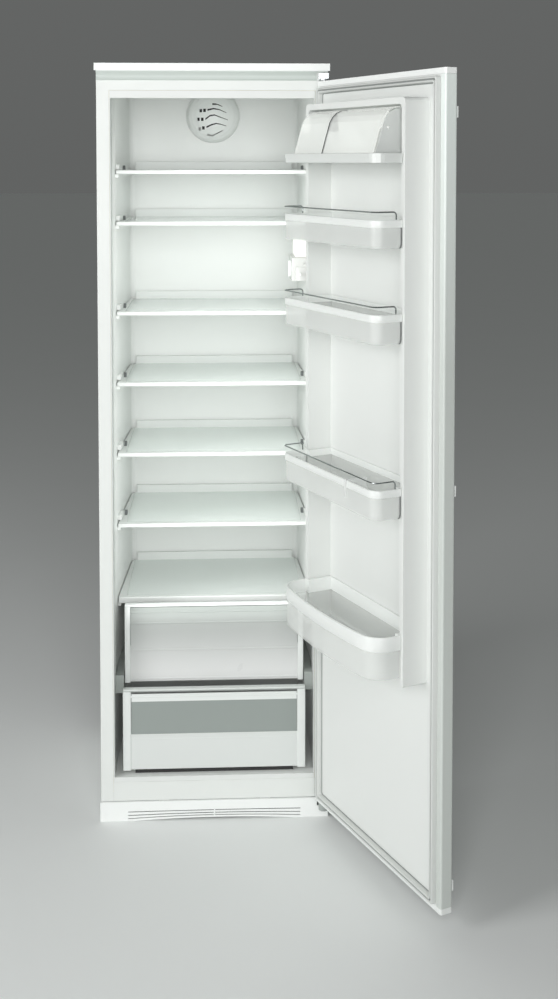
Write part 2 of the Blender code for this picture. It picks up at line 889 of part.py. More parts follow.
def louvre_outline(shares):
    """Give the outline of a wavy louvre that tapers from its left end to its right end."""
    upper = []
    lower = []
    for index, (u, v) in enumerate(shares):
        share = index / (len(shares) - 1)
        half = (louvre_width + (louvre_tip_width - louvre_width) * share) / 2
        upper.append((fan_x + u * dome_radius, fan_z + v * dome_radius + half))
        lower.append((fan_x + u * dome_radius, fan_z + v * dome_radius - half))
    return lower + upper[::-1]


def make_fan_cover():
    """Make the fan's domed cover on the back wall, with wavy louvres and short slots."""
    inner_radius = dome_radius - dome_wall
    inner_depth = dome_depth - dome_wall
    profile = []
    for step in range(dome_steps + 1):
        radius = dome_radius * math.sin(math.pi / 2 * step / dome_steps)
        profile.append((radius, dome_height(radius, dome_depth, dome_radius)))
    for step in range(dome_steps + 1):
        radius = inner_radius * math.cos(math.pi / 2 * step / dome_steps)
        profile.append((radius, dome_height(radius, inner_depth, inner_radius)))
    profile[0] = (0.0, dome_depth)
    profile[-1] = (0.0, inner_depth)
    seat = (fan_x, cavity_depth - seat_gap, fan_z)
    tilt = (math.pi / 2, 0.0, 0.0)
    cover = turned("fan_cover", profile, seat, cabinet, "white_plastic", tilt, dome_round_steps)
    front = cavity_depth - dome_depth - overrun
    back = cavity_depth - motor_depth
    for index, shares in enumerate(louvre_shares):
        cut(cover, plate(f"louvre_{index}", [louvre_outline(shares)], front, back, "xz", cabinet))
    shorts = []
    for pair in short_slot_shares:
        for u, v in pair:
            x = fan_x + u * dome_radius
            z = fan_z + v * dome_radius
            low = (x - short_slot / 2, front, z - short_slot_height / 2)
            shorts.append((low, (x + short_slot / 2, back, z + short_slot_height / 2)))
    cut(cover, blocks("short_slots", shorts, cabinet))
    above = (
        (fan_x - dome_radius - overrun, front, cavity_ceiling - seat_gap),
        (fan_x + dome_radius + overrun, cavity_depth, fan_z + dome_radius + overrun),
    )
    return cut(cover, blocks("dome_top", [above], cabinet))


def make_fan_motor():
    """Make the fan motor on the back wall, with its shaft towards the front."""
    profile = [
        (0.0, shaft_length),
        (shaft_radius, shaft_length),
        (shaft_radius, motor_depth),
        (motor_radius * 0.9, motor_depth),
        (motor_radius, motor_depth * 0.85),
        (motor_radius, 0.0),
        (0.0, 0.0),
    ]
    seat = (fan_x, cavity_depth - seat_gap, fan_z)
    return turned("fan_motor", profile, seat, cabinet, "black_enamel", (math.pi / 2, 0.0, 0.0), small_round_steps)


def make_impeller():
    """Make the fan impeller: a hub that fits the shaft, and pitched blades."""
    back = motor_depth + seat_gap * 2
    hub_profile = [
        (shaft_radius + shaft_clearance, back + hub_depth),
        (hub_radius, back + hub_depth),
        (hub_radius, back),
        (shaft_radius + shaft_clearance, back),
    ]
    seat = Vector((fan_x, cavity_depth - seat_gap, fan_z))
    pivot = new_empty("fan_impeller_pivot", cabinet, seat)
    pivot.rotation_euler = (math.pi / 2, 0.0, 0.0)
    impeller = turned("fan_impeller", hub_profile, (0.0, 0.0, 0.0), pivot, "grey_plastic")
    form = bmesh.new()
    reach = impeller_radius - hub_radius * 0.8
    for blade in range(blade_count):
        turn = Matrix.Rotation(2 * math.pi * blade / blade_count, 4, "Z")
        tilt = Matrix.Rotation(math.radians(blade_pitch_degrees), 4, "X")
        shift = Matrix.Translation((hub_radius * 0.8 + reach / 2, 0.0, back + hub_depth / 2))
        size = Matrix.Diagonal((reach, hub_depth, blade_sheet, 1.0))
        bmesh.ops.create_cube(form, size=1.0, matrix=turn @ shift @ tilt @ size)
    return join(impeller, finish_bmesh("fan_blades", form, pivot))


# Control housing sizes
housing_reach = 0.042
control_share = 0.43418
housing_height = 0.058
arm_reach = 0.013
arm_margin = 0.013
nose_reach = 0.0375
housing_face = cavity_front_half - housing_reach
housing_front = 0.190
housing_back = 0.330
control_z = shelf_levels["shelf_3"] + (shelf_levels["shelf_2"] - shelf_levels["shelf_3"]) * control_share
housing_low = control_z - housing_height / 2
housing_high = control_z + housing_height / 2
arm_face = cavity_front_half - arm_reach
arm_low = housing_low + arm_margin
arm_high = housing_high - arm_margin
nose_face = cavity_front_half - nose_reach
nose_front = 0.060
nose_back = 0.085
housing_corner = 0.004
knob_y = 0.226
knob_radius = 0.022
knob_depth = 0.0062
knob_grip_half = 0.003
knob_grip_rise = 0.003
spindle_radius = 0.003
spindle_depth = 0.006
lens_reach = 0.033
lens_front = 0.205
lens_back = 0.318
lens_head_gap = 0.0482
lens_round = 0.008
plunger_radius = 0.003
plunger_reach = 0.030
plunger_x = cavity_front_half - plunger_reach
plunger_travel = 0.004
plunger_length = 0.029
plunger_clearance = 0.0001
plunger_free = 0.0005
plunger_tip = door_inner + dyke_height + plunger_free


def make_control_housing():
    """Make the control housing on the right wall: body for knob and lamp, arm and switch nose."""
    gap = seat_gap
    body_plan = [
        (housing_face, housing_front),
        (wall_half(housing_front) - gap, housing_front),
        (wall_half(housing_back) - gap, housing_back),
        (housing_face, housing_back),
    ]
    arm_plan = [
        (nose_face, nose_front),
        (wall_half(nose_front) - gap, nose_front),
        (wall_half(cavity_straight) - gap, cavity_straight),
        (wall_half(housing_front + overrun) - gap, housing_front + overrun),
        (arm_face, housing_front + overrun),
        (arm_face, nose_back),
        (nose_face, nose_back),
    ]
    housing = plate("control_housing", [body_plan], housing_low, housing_high, "xy", cabinet, "white_plastic")
    soften(housing, housing_corner / 2)
    join(housing, plate("switch_arm", [arm_plan], arm_low, arm_high, "xy", cabinet))
    bore_end = plunger_tip + plunger_length + plunger_travel + seat_gap * 2
    bore = rods(
        "plunger_bore",
        [((plunger_x, nose_front - overrun, control_z), (plunger_x, bore_end, control_z))],
        plunger_radius + plunger_clearance,
        cabinet,
    )
    cut(housing, bore)
    spindle_hole = rods(
        "spindle_bore",
        [
            (
                (housing_face - overrun, knob_y, control_z),
                (housing_face + spindle_depth + seat_gap * 2, knob_y, control_z),
            )
        ],
        spindle_radius + plunger_clearance,
        cabinet,
    )
    return cut(housing, spindle_hole)


def make_knob():
    """Make the thermostat knob: a disc with a grip bar and a spindle, axis across the cabinet."""
    pivot = new_empty("thermostat_knob_pivot", cabinet, (housing_face - seat_gap, knob_y, control_z))
    pivot.rotation_euler = (0.0, -math.pi / 2, 0.0)
    profile = [
        (0.0, knob_depth - knob_grip_rise),
        (knob_radius * 0.9, knob_depth - knob_grip_rise),
        (knob_radius, (knob_depth - knob_grip_rise) * 0.6),
        (knob_radius, 0.0),
        (spindle_radius, 0.0),
        (spindle_radius, -spindle_depth),
        (0.0, -spindle_depth),
    ]
    knob = turned("thermostat_knob", profile, (0.0, 0.0, 0.0), pivot, "white_plastic")
    grip_low = (-knob_radius * 0.86, -knob_grip_half, (knob_depth - knob_grip_rise) / 2)
    grip_high = (knob_radius * 0.86, knob_grip_half, knob_depth)
    return join(knob, blocks("knob_grip", [(grip_low, grip_high)], pivot))


def make_lens():
    """Make the lamp's lens, which stands on the control housing against the wall."""
    face = cavity_front_half - lens_reach
    plan = [
        (face, lens_front),
        (wall_half(lens_front) - seat_gap, lens_front),
        (wall_half(lens_back) - seat_gap, lens_back),
        (face, lens_back),
    ]
    high_z = shelf_levels["shelf_2"] - lens_head_gap
    lens = plate("lamp_lens", [plan], housing_high + seat_gap, high_z, "xy", cabinet, "lamp_plastic")
    return soften(lens, lens_round, 3)


def make_plunger():
    """Make the light switch's plunger in the nose of the control housing."""
    span = ((plunger_x, plunger_tip, control_z), (plunger_x, plunger_tip + plunger_length, control_z))
    return rods("light_switch_plunger", [span], plunger_radius, cabinet, "white_plastic")


# Shelf sizes
shelf_front = 0.120
shelf_back_gap = 0.0025
shelf_front_gap = 0.002
side_bar = 0.020
shelf_back = cavity_depth - shelf_back_gap
shelf_front_half = cavity_front_half - shelf_front_gap
front_bar = 0.013
rear_bar = 0.010
rear_bar_rise = 0.020
glass_half = shelf_front_half - side_bar
glass_sheet = 0.004
glass_seat = 0.006
front_bar_round = 0.0025


def shelf_half(y):
    """Give half a shelf's width at a depth."""
    return min(shelf_front_half, wall_half(y) - shelf_side_gap)


def make_shelf(name, level, edge_height):
    """Make one shelf: a glass pane that lies in a white frame with a raised bar behind."""
    corner_y = shelf_back - liner_corner
    bar_half = shelf_half(corner_y) - liner_corner
    right = [
        (shelf_front_half, shelf_front),
        (shelf_front_half, cavity_straight),
        (shelf_half(corner_y), corner_y),
        (bar_half, shelf_back),
    ]
    plan = right + [(-x, y) for x, y in reversed(right)]
    frame = plate(name + "_frame", [plan], level - edge_height, level, "xy", cabinet, "white_plastic")
    soften(frame, front_bar_round)
    glass_front = shelf_front + front_bar
    glass_back = shelf_back - rear_bar - seat_gap
    pocket_low = (-glass_half - seat_gap, glass_front - seat_gap, level - glass_sheet - seat_gap)
    pocket_high = (glass_half + seat_gap, glass_back + seat_gap, level + overrun)
    window_low = (-glass_half + glass_seat, glass_front + glass_seat, level - edge_height - overrun)
    window_high = (glass_half - glass_seat, glass_back - glass_seat, level)
    cut(frame, blocks(name + "_pocket", [(pocket_low, pocket_high)], cabinet))
    cut(frame, blocks(name + "_window", [(window_low, window_high)], cabinet))
    bar_low = (-bar_half, shelf_back - rear_bar, level - edge_height)
    bar = blocks(name + "_bar", [(bar_low, (bar_half, shelf_back, level + rear_bar_rise))], cabinet)
    join(frame, soften(bar, front_bar_round / 2))
    glass_low = (-glass_half, glass_front, level - glass_sheet)
    return frame, blocks(name + "_glass", [(glass_low, (glass_half, glass_back, level))], cabinet, "shelf_glass")


# Drawer and runner sizes
runner_reach = 0.020
runner_end_gap = 0.012
runner_inner = cavity_front_half - runner_reach
runner_front = 0.040
runner_block = 0.030
runner_back = cavity_depth - runner_end_gap
runner_low = 0.289
runner_top = 0.332
runner_rail = 0.008
drawer_wall = 0.0022
drawer_front_wall = 0.003
drawer_corner = 0.006
upper_front = 0.050
upper_end_gap = 0.032
upper_side_gap = 0.0017
upper_back = cavity_depth - upper_end_gap
upper_half = runner_inner - upper_side_gap
upper_bottom = 0.309
upper_side_top = 0.470
upper_front_top = 0.498
flange_reach = 0.0062
flange_sheet = 0.002
flange_front = 0.060
lower_front = 0.016
lower_end_gap = 0.008
lower_side_gap = 0.0187
lower_back = step_depth - lower_end_gap
lower_half = cavity_front_half - lower_side_gap
lower_side_top = 0.284
lower_front_top = 0.3065
foot_width = 0.0358
foot_inner = lower_half - foot_width
foot_height = 0.0074
handle_reach = 0.010
handle_height = 0.012
window_recess = 0.0008
window_side = 0.020
window_low = 0.198
window_high = 0.277


def make_runner(name, side):
    """Make one drawer runner: a grey block at the front and a rail along the wall."""
    outer = [(side * (wall_half(y) - seat_gap), y) for y in (runner_back, cavity_straight, runner_front)]
    plan = outer + [(side * runner_inner, runner_front), (side * runner_inner, runner_back)]
    runner = plate(name, [plan], runner_low, runner_top, "xy", cabinet, "grey_plastic")
    low = (-half_width, runner_front + runner_block, runner_low - overrun)
    high = (half_width, runner_back + overrun, runner_top - runner_rail)
    return cut(runner, blocks(name + "_relief", [(low, high)], cabinet))


def make_drawer(name, front, back, half, bottom, side_top, front_top, material):
    """Make a drawer: a tub with low sides, a taller front and a handle lip along its top."""
    outline = rectangle(-half, half, front, back, drawer_corner)
    drawer = plate(name, [outline], bottom, front_top, "xy", cabinet, material)
    room = rectangle(
        -half + drawer_wall, half - drawer_wall, front + drawer_front_wall, back - drawer_wall, drawer_corner / 2
    )
    cut(drawer, plate(name + "_room", [room], bottom + drawer_wall, front_top + overrun, "xy", cabinet))
    above_low = (-half - overrun, front + drawer_front_wall * 2 + handle_reach, side_top)
    above = (above_low, (half + overrun, back + overrun, front_top + overrun))
    cut(drawer, blocks(name + "_sides", [above], cabinet))
    lip_low = (-half + drawer_corner, front + drawer_front_wall / 2, front_top - drawer_wall)
    lip_high = (half - drawer_corner, front + drawer_front_wall + handle_reach, front_top)
    drop_low = (-half + drawer_corner, lip_high[1] - drawer_wall, front_top - handle_height)
    lip = blocks(name + "_lip", [(lip_low, lip_high)], cabinet)
    drop_high = (lip_high[0], lip_high[1], front_top - drawer_wall / 2)
    join(drawer, lip)
    return join(drawer, blocks(name + "_lip_drop", [(drop_low, drop_high)], cabinet))


def make_upper_drawer():
    """Make the upper drawer, which hangs by its side flanges on the runners."""
    drawer = make_drawer(
        "upper_drawer",
        upper_front,
        upper_back,
        upper_half,
        upper_bottom,
        upper_side_top,
        upper_front_top,
        "clear_plastic",
    )
    low_z = runner_top + seat_gap
    flanges = []
    for side in (-1, 1):
        near = side * (upper_half - drawer_wall / 2)
        far = side * (upper_half + flange_reach)
        low = (min(near, far), flange_front, low_z)
        flanges.append((low, (max(near, far), upper_back - drawer_corner, low_z + flange_sheet)))
    return join(drawer, blocks("upper_drawer_flanges", flanges, cabinet))


def make_lower_drawer():
    """Make the lower drawer, which slides on two feet over the liner's floor."""
    bottom = cavity_floor + seat_gap
    drawer = make_drawer(
        "lower_drawer",
        lower_front,
        lower_back,
        lower_half,
        bottom + foot_height,
        lower_side_top,
        lower_front_top,
        "clear_plastic",
    )
    feet = []
    for side in (-1, 1):
        near = side * foot_inner
        far = side * (lower_half - drawer_corner)
        low = (min(near, far), lower_front + drawer_corner, bottom)
        high = (max(near, far), lower_back - drawer_corner, bottom + foot_height + drawer_wall / 2)
        feet.append((low, high))
    join(drawer, blocks("lower_drawer_feet", feet, cabinet))
    recess_low = (-lower_half + window_side, lower_front - overrun, window_low)
    recess_high = (lower_half - window_side, lower_front + window_recess, window_high)
    return cut(drawer, blocks("lower_drawer_window", [(recess_low, recess_high)], cabinet))


# Compressor, tray and terminal box sizes
compressor_x = -0.100
compressor_back_gap = 0.078
compressor_y = footprint_depth - compressor_back_gap
compressor_radius = 0.060
compressor_top = 0.184
compressor_crown = 0.034
foot_plate_top = 0.0178
foot_plate_sheet = 0.002
foot_plate_half_x = 0.095
foot_plate_half_y = 0.050
grommet_radius = 0.009
grommet_inset = 0.012
dome_share = 0.75
tray_half_x = 0.075
tray_half_y = 0.055
tray_height = 0.026
tray_wall = 0.002
box_depth = 0.034
box_half_y = 0.024
box_low = 0.062
box_high = 0.116
inlet_half_y = 0.010
inlet_half_z = 0.007
inlet_depth = 0.014


def make_compressor():
    """Make the compressor: a closed pot with domed ends on its mounting plate and rubber feet."""
    low = foot_plate_top
    high = compressor_top
    profile = [
        (0.0, high),
        (compressor_crown, high),
        (compressor_radius * dome_share, high - (compressor_radius - compressor_crown) * (1 - dome_share)),
        (compressor_radius * 0.95, high - compressor_radius * 0.25),
        (compressor_radius, high - compressor_radius * 0.5),
        (compressor_radius, low + compressor_radius * 0.3),
        (compressor_radius * 0.9, low + compressor_radius * 0.1),
        (compressor_radius * dome_share, low - foot_plate_sheet / 2),
        (0.0, low - foot_plate_sheet / 2),
    ]
    pot = turned("compressor", profile, (compressor_x, compressor_y, 0.0), cabinet, "black_enamel")
    low_corner = (compressor_x - foot_plate_half_x, compressor_y - foot_plate_half_y, low - foot_plate_sheet)
    high_corner = (compressor_x + foot_plate_half_x, compressor_y + foot_plate_half_y, low)
    join(pot, blocks("mounting_plate", [(low_corner, high_corner)], cabinet))
    spans = []
    for side_x in (-1, 1):
        for side_y in (-1, 1):
            x = compressor_x + side_x * (foot_plate_half_x - grommet_inset)
            y = compressor_y + side_y * (foot_plate_half_y - grommet_inset)
            spans.append(((x, y, base_sheet + seat_gap), (x, y, low - foot_plate_sheet / 2)))
    return join(pot, rods("rubber_feet", spans, grommet_radius, cabinet))


def make_drip_tray():
    """Make the open drip tray that lies on the compressor."""
    low_z = compressor_top + seat_gap
    outline = rectangle(
        compressor_x - tray_half_x,
        compressor_x + tray_half_x,
        compressor_y - tray_half_y,
        compressor_y + tray_half_y,
        drawer_corner,
    )
    tray = plate("drip_tray", [outline], low_z, low_z + tray_height, "xy", cabinet, "grey_plastic")
    room = rectangle(
        compressor_x - tray_half_x + tray_wall,
        compressor_x + tray_half_x - tray_wall,
        compressor_y - tray_half_y + tray_wall,
        compressor_y + tray_half_y - tray_wall,
        drawer_corner / 2,
    )
    return cut(tray, plate("tray_room", [room], low_z + tray_wall, low_z + tray_height + overrun, "xy", cabinet))


def make_terminal_box():
    """Make the compressor's terminal box, with the mains inlet in its far end."""
    start = compressor_x + compressor_radius * dome_share
    end = compressor_x + compressor_radius + box_depth
    low = (start, compressor_y - box_half_y, box_low)
    box = blocks("terminal_box", [(low, (end, compressor_y + box_half_y, box_high))], cabinet, "grey_plastic")
    soften(box, drawer_corner / 2)
    core_low = (compressor_x, compressor_y, box_low - overrun)
    core_high = (compressor_x, compressor_y, box_high + overrun)
    core = rods(
        "terminal_box_seat", [(core_low, core_high)], compressor_radius + seat_gap, cabinet, steps=round_steps
    )
    cut(box, core)
    middle = (box_low + box_high) / 2
    inlet_low = (end - inlet_depth, compressor_y - inlet_half_y, middle - inlet_half_z)
    inlet_high = (end + overrun, compressor_y + inlet_half_y, middle + inlet_half_z)
    return cut(box, blocks("mains_inlet", [(inlet_low, inlet_high)], cabinet))


# Condenser sizes
condenser_gap = 0.0295
condenser_side_gap = 0.061
condenser_head_gap = 0.152
condenser_y = footprint_depth + condenser_gap
condenser_half = half_width - condenser_side_gap
condenser_low = 0.420
condenser_high = case_height - condenser_head_gap
condenser_passes = 13
pipe_radius = 0.0025
wire_radius = 0.0009
wire_count = 7
wire_steps = 5
wire_over = 0.030
standoff_half = 0.006
standoff_inset = 0.024
discharge_z = 0.120
bend_radius = 0.020


def condenser_path():
    """Give the condenser pipe's path from the compressor, up through its passes, into the back."""
    pitch = (condenser_high - condenser_low) / (condenser_passes - 1)
    radius = pitch / 2
    start_y = compressor_y + compressor_radius + seat_gap * 2
    points = [
        (compressor_x, start_y, discharge_z),
        (compressor_x, condenser_y - bend_radius, discharge_z),
    ]
    for step in range(1, arc_steps + 1):
        angle = math.pi / 2 * step / arc_steps
        y = condenser_y - bend_radius + bend_radius * math.sin(angle)
        points.append((compressor_x, y, discharge_z + bend_radius - bend_radius * math.cos(angle)))
    for step in range(arc_steps + 1):
        angle = math.pi / 2 * step / arc_steps
        x = compressor_x + bend_radius - bend_radius * math.cos(angle)
        points.append((x, condenser_y, condenser_low - bend_radius + bend_radius * math.sin(angle)))
    reach = condenser_half - radius
    for index in range(condenser_passes):
        z = condenser_low + pitch * index
        side = 1 if index % 2 == 0 else -1
        points.append((side * reach, condenser_y, z))
        if index == condenser_passes - 1:
            break
        for step in range(1, arc_steps + 1):
            angle = math.pi * step / arc_steps
            x = side * (reach + radius * math.sin(angle))
            points.append((x, condenser_y, z + radius - radius * math.cos(angle)))
    last = points[-1]
    for step in range(1, arc_steps + 1):
        angle = math.pi / 2 * step / arc_steps
        x = last[0] + side * bend_radius * math.sin(angle)
        points.append((x, condenser_y - bend_radius + bend_radius * math.cos(angle), last[2]))
    points.append((points[-1][0], footprint_depth + seat_gap, last[2]))
    return points


def make_condenser():
    """Make the wire-on-pipe condenser behind the back panel, with its four standoffs."""
    condenser = tube("condenser", condenser_path(), pipe_radius, cabinet, "black_enamel", 1)
    pitch = (condenser_high - condenser_low) / (condenser_passes - 1)
    reach = condenser_half - bend_radius * 2
    wires = bmesh.new()
    y = condenser_y + pipe_radius - wire_radius / 2
    span = reach + reach
    for index in range(wire_count):
        x = span * index / (wire_count - 1) - reach
        low = (x, y, condenser_low - wire_over)
        add_rod(wires, low, (x, y, condenser_high + wire_over), wire_radius, steps=wire_steps)
    join(condenser, finish_bmesh("condenser_wires", wires, cabinet))
    standoffs = []
    for side in (-1, 1):
        x = side * (reach - standoff_inset)
        for z in (condenser_low + pitch, condenser_high - pitch):
            low = (x - standoff_half, footprint_depth + seat_gap, z - standoff_half)
            standoffs.append((low, (x + standoff_half, condenser_y, z + standoff_half)))
    return join(condenser, blocks("condenser_standoffs", standoffs, cabinet))


# Door and its own pieces
door = new_pivot("door", cabinet, (pivot_x, pivot_y, 0.0), math.radians(door_open_degrees))
cap_height = 0.012
door_corner = 0.004
skin_sheet = 0.0008
skin_flange = 0.015
door_liner_sheet = 0.0015
gasket_inset = 0.016
gasket_width = 0.012
gasket_round = 0.0025
dyke_margin = 0.055
dyke_outer = half_width - dyke_margin
dyke_width = 0.013
dyke_foot_lift = 0.4525
dyke_head_gap = 0.056
dyke_bottom = door_bottom + dyke_foot_lift
dyke_top = door_top - dyke_head_gap
dyke_corner = 0.010
dyke_wall = 0.0018
dyke_round = 0.003
lug_reach = 0.0055
lug_front = 0.015
lug_back = 0.045
lug_height = 0.008
slider_shares = {"panel_slider_bottom": 0.03233, "panel_slider_middle": 0.50638, "panel_slider_top": 0.94898}
slider_half_height = 0.011
slider_width = 0.040
slider_thickness = 0.003
slider_edge = 0.002
dyke_inner = dyke_outer - dyke_width


def make_door_skin():
    """Make the door's outer steel skin, a shallow channel folded in at both edges."""
    low = door_bottom + cap_height + seat_gap
    high = door_top - cap_height - seat_gap
    outside = rectangle(-half_width, half_width, door_outer, door_inner, door_corner)
    inside = rectangle(
        -half_width + skin_sheet,
        half_width - skin_sheet,
        door_outer + skin_sheet,
        door_inner - skin_sheet,
        door_corner - skin_sheet,
    )
    skin = plate("door_skin", [outside, inside], low, high, "xy", door, "white_enamel")
    reach = half_width - skin_flange
    slot = ((-reach, door_inner - skin_sheet * 2, low - overrun), (reach, door_inner + overrun, high + overrun))
    return cut(skin, blocks("skin_slot", [slot], door))


def make_door_cap(name, low, high):
    """Make one end cap of the door, with the hinge pin's bore."""
    outline = rectangle(-half_width, half_width, door_outer, door_inner, door_corner)
    cap = plate(name, [outline], low, high, "xy", door, "white_plastic")
    soften(cap, seat_gap * 3, 1, 60)
    bore = rods(
        name + "_bore",
        [((pivot_x, pivot_y, low - overrun), (pivot_x, pivot_y, high + overrun))],
        pin_radius + pin_clearance,
        door,
        steps=round_steps,
    )
    return cut(cap, bore)


def make_door_foam():
    """Make the door's foam core, with room for the hinge pins."""
    low_z = door_bottom + cap_height + seat_gap
    high_z = door_top - cap_height - seat_gap
    edge = half_width - skin_sheet - seat_gap
    low = (-edge, door_outer + skin_sheet + seat_gap, low_z)
    high = (edge, door_inner - door_liner_sheet - seat_gap, high_z)
    foam = soften(blocks("door_foam", [(low, high)], door, "foam"), door_corner - skin_sheet, 2)
    pins = []
    for z in (low_z, high_z):
        pins.append(((pivot_x, pivot_y, z - pin_length), (pivot_x, pivot_y, z + pin_length)))
    return cut(foam, rods("pin_room", pins, pin_radius + pin_clearance, door, steps=round_steps))


def dyke_outline(inset):
    """Give the front view of the dykes: two legs joined by a bridge at the top."""
    outer = dyke_outer - inset
    inner = dyke_inner + inset
    top = dyke_top - inset
    bridge = dyke_top - dyke_width + inset
    low = dyke_bottom + inset
    corner = dyke_corner - inset
    foot = dyke_width / 3
    return rounded(
        [
            (-outer, low, corner / 2),
            (-inner, low, foot / 2),
            (-inner, bridge, corner),
            (inner, bridge, corner),
            (inner, low, foot / 2),
            (outer, low, corner / 2),
            (outer, top, corner),
            (-outer, top, corner),
        ]
    )


def make_door_liner(hook_levels):
    """Make the door's inner liner: a sheet with hollow dykes and lugs for what hangs there."""
    reach = half_width - skin_flange - seat_gap
    low_z = door_bottom + cap_height + seat_gap
    high_z = door_top - cap_height - seat_gap
    back = door_inner - door_liner_sheet
    liner = blocks("door_liner", [((-reach, back, low_z), (reach, door_inner, high_z))], door, "liner_plastic")
    crest = door_inner + dyke_height
    dykes = plate("dykes", [dyke_outline(0.0)], back, crest, "xz", door)
    join(liner, soften(dykes, dyke_round, 2))
    hollow = plate("dyke_hollow", [dyke_outline(dyke_wall)], back - overrun, crest - dyke_wall, "xz", door)
    cut(liner, hollow)
    lugs = []
    for hook in hook_levels:
        for side in (-1, 1):
            near = side * (dyke_inner + dyke_wall / 2)
            far = side * (dyke_inner - lug_reach)
            low = (min(near, far), door_inner + lug_front, hook - seat_gap - lug_height)
            lugs.append((low, (max(near, far), door_inner + lug_back, hook - seat_gap)))
    return join(liner, blocks("lugs", lugs, door))


def make_gasket():
    """Make the magnetic gasket, a soft ring all round the door's inner face."""
    rings = []
    for inset, corner in ((gasket_inset, gasket_round * 2), (gasket_inset + gasket_width, gasket_round)):
        reach = half_width - inset
        rings.append(rectangle(-reach, reach, door_bottom + inset, door_top - inset, corner))
    gasket = plate("door_gasket", rings, door_inner + seat_gap, -seat_gap, "xz", door, "gasket_rubber")
    return soften(gasket, gasket_round, 2)


def make_panel_slider(name, share):
    """Make one of the slider brackets that would carry a furniture panel."""
    level = door_bottom + (door_top - door_bottom) * share
    low = (-half_width + slider_edge, door_outer - seat_gap - slider_thickness, level - slider_half_height)
    high = (low[0] + slider_width, door_outer - seat_gap, level + slider_half_height)
    return blocks(name, [(low, high)], door, "white_plastic")


# Balcony sizes
bin_side_gap = 0.0075
bin_front_inset = 0.008
shoulder_gap = 0.0015
bin_inner_half = dyke_inner - bin_side_gap
bin_outer_half = dyke_outer - bin_front_inset
bin_shoulder = dyke_height + shoulder_gap
bin_back = 0.001
bin_wall = 0.0025
bin_corner = 0.022
bin_draft = 0.0006
rim_proud = 0.0015
rim_hook = 0.006
rim_step = 0.0004
rim_height = 0.015
bottle_rim_height = 0.030
# Each balcony's height, and the gap below it as a share of the door's free height
balcony_heights = {"balcony_4": 0.061, "balcony_3": 0.060, "balcony_2": 0.057}
balcony_gap_shares = {"balcony_4": 0.307592, "balcony_3": 0.376963, "balcony_2": 0.168848}
bottle_balcony_lift = 0.018
bottle_balcony_height = 0.088
bottle_bow = 0.016
bottle_corner = 0.045
bow_steps = 12
bow_skip = 2
bottle_balcony_low = dyke_bottom + bottle_balcony_lift
bottle_balcony_top = bottle_balcony_low + bottle_balcony_height
dairy_drop = 0.129
dairy_low = dyke_top - dairy_drop
free_height = dairy_low - bottle_balcony_top - sum(balcony_heights.values())
balcony_rises = {name: balcony_heights[name] + free_height * share for name, share in balcony_gap_shares.items()}
balcony_tops = stack_up(bottle_balcony_top, balcony_rises)
balcony_lows = {name: top - balcony_heights[name] for name, top in balcony_tops.items()}
rail_wire_radius = 0.0015
rail_lift = 0.0155
rail_foot = 0.070
rail_corner = 0.012
rail_inset = 0.0025
rail_side = bin_outer_half - rail_inset


def bin_plan(inset, hook=0.0, back_inset=None, bow=0.0, corner_radius=bin_corner):
    """Give the plan of a balcony: narrow between the dykes, wide and perhaps bowed in front of them."""
    back_inset = inset if back_inset is None else back_inset
    narrow = bin_inner_half + hook - inset
    wide = bin_outer_half - inset
    back = door_inner + bin_back + back_inset
    shoulder = door_inner + bin_shoulder + back_inset
    front = door_inner + balcony_reach - inset
    corner = corner_radius - inset
    bowed = []
    for step in range(bow_skip, bow_steps - bow_skip + 1):
        x = wide * (1 - (step + step) / bow_steps)
        bowed.append((x, front + arch_height(x, wide, bow), 0.0))
    return rounded(
        [
            (-narrow, back, 0.0),
            (narrow, back, 0.0),
            (narrow, shoulder, 0.0),
            (wide, shoulder + bin_draft, 0.0),
            (wide, front, corner),
        ]
        + (bowed if bow else [])
        + [
            (-wide, front, corner),
            (-wide, shoulder + bin_draft, 0.0),
            (-narrow, shoulder, 0.0),
        ]
    )


def make_bin(name, bottom, top, rim, material, bow=0.0, corner=bin_corner):
    """Make one open bin with a thicker rim that hooks over the lugs on the dykes."""
    shape = {"bow": bow, "corner_radius": corner}
    holder = plate(name, [bin_plan(0.0, **shape)], bottom, top - rim / 2, "xy", door, material)
    rim_plan = bin_plan(-rim_proud, rim_hook - rim_proud, -rim_step, **shape)
    join(holder, plate(name + "_rim", [rim_plan], top - rim, top, "xy", door))
    room = plate(name + "_room", [bin_plan(bin_wall, **shape)], bottom + bin_wall, top + overrun, "xy", door)
    return cut(holder, room)


def rail_path(top):
    """Give the chrome rail's path: up from the rim, forward, across the front and back down."""
    front = door_inner + balcony_reach - bin_wall / 2
    foot_y = door_inner + rail_foot
    high = top + rail_lift
    corner = rail_corner
    points = [(rail_side, foot_y, top + seat_gap)]
    for step in range(arc_steps + 1):
        angle = math.pi / 2 * step / arc_steps
        z = high - corner / 2 + corner / 2 * math.sin(angle)
        points.append((rail_side, foot_y + corner / 2 - corner / 2 * math.cos(angle), z))
    for step in range(arc_steps + 1):
        angle = math.pi / 2 * step / arc_steps
        x = rail_side - corner + corner * math.cos(angle)
        points.append((x, front - corner + corner * math.sin(angle), high))
    return points + [(-x, y, z) for x, y, z in reversed(points)]


# Divider sizes
divider_x = -0.092
divider_half = 0.004
divider_sheet = 0.002
divider_tab = 0.034
divider_fin_reach = 0.045
divider_fin_lift = 0.0008


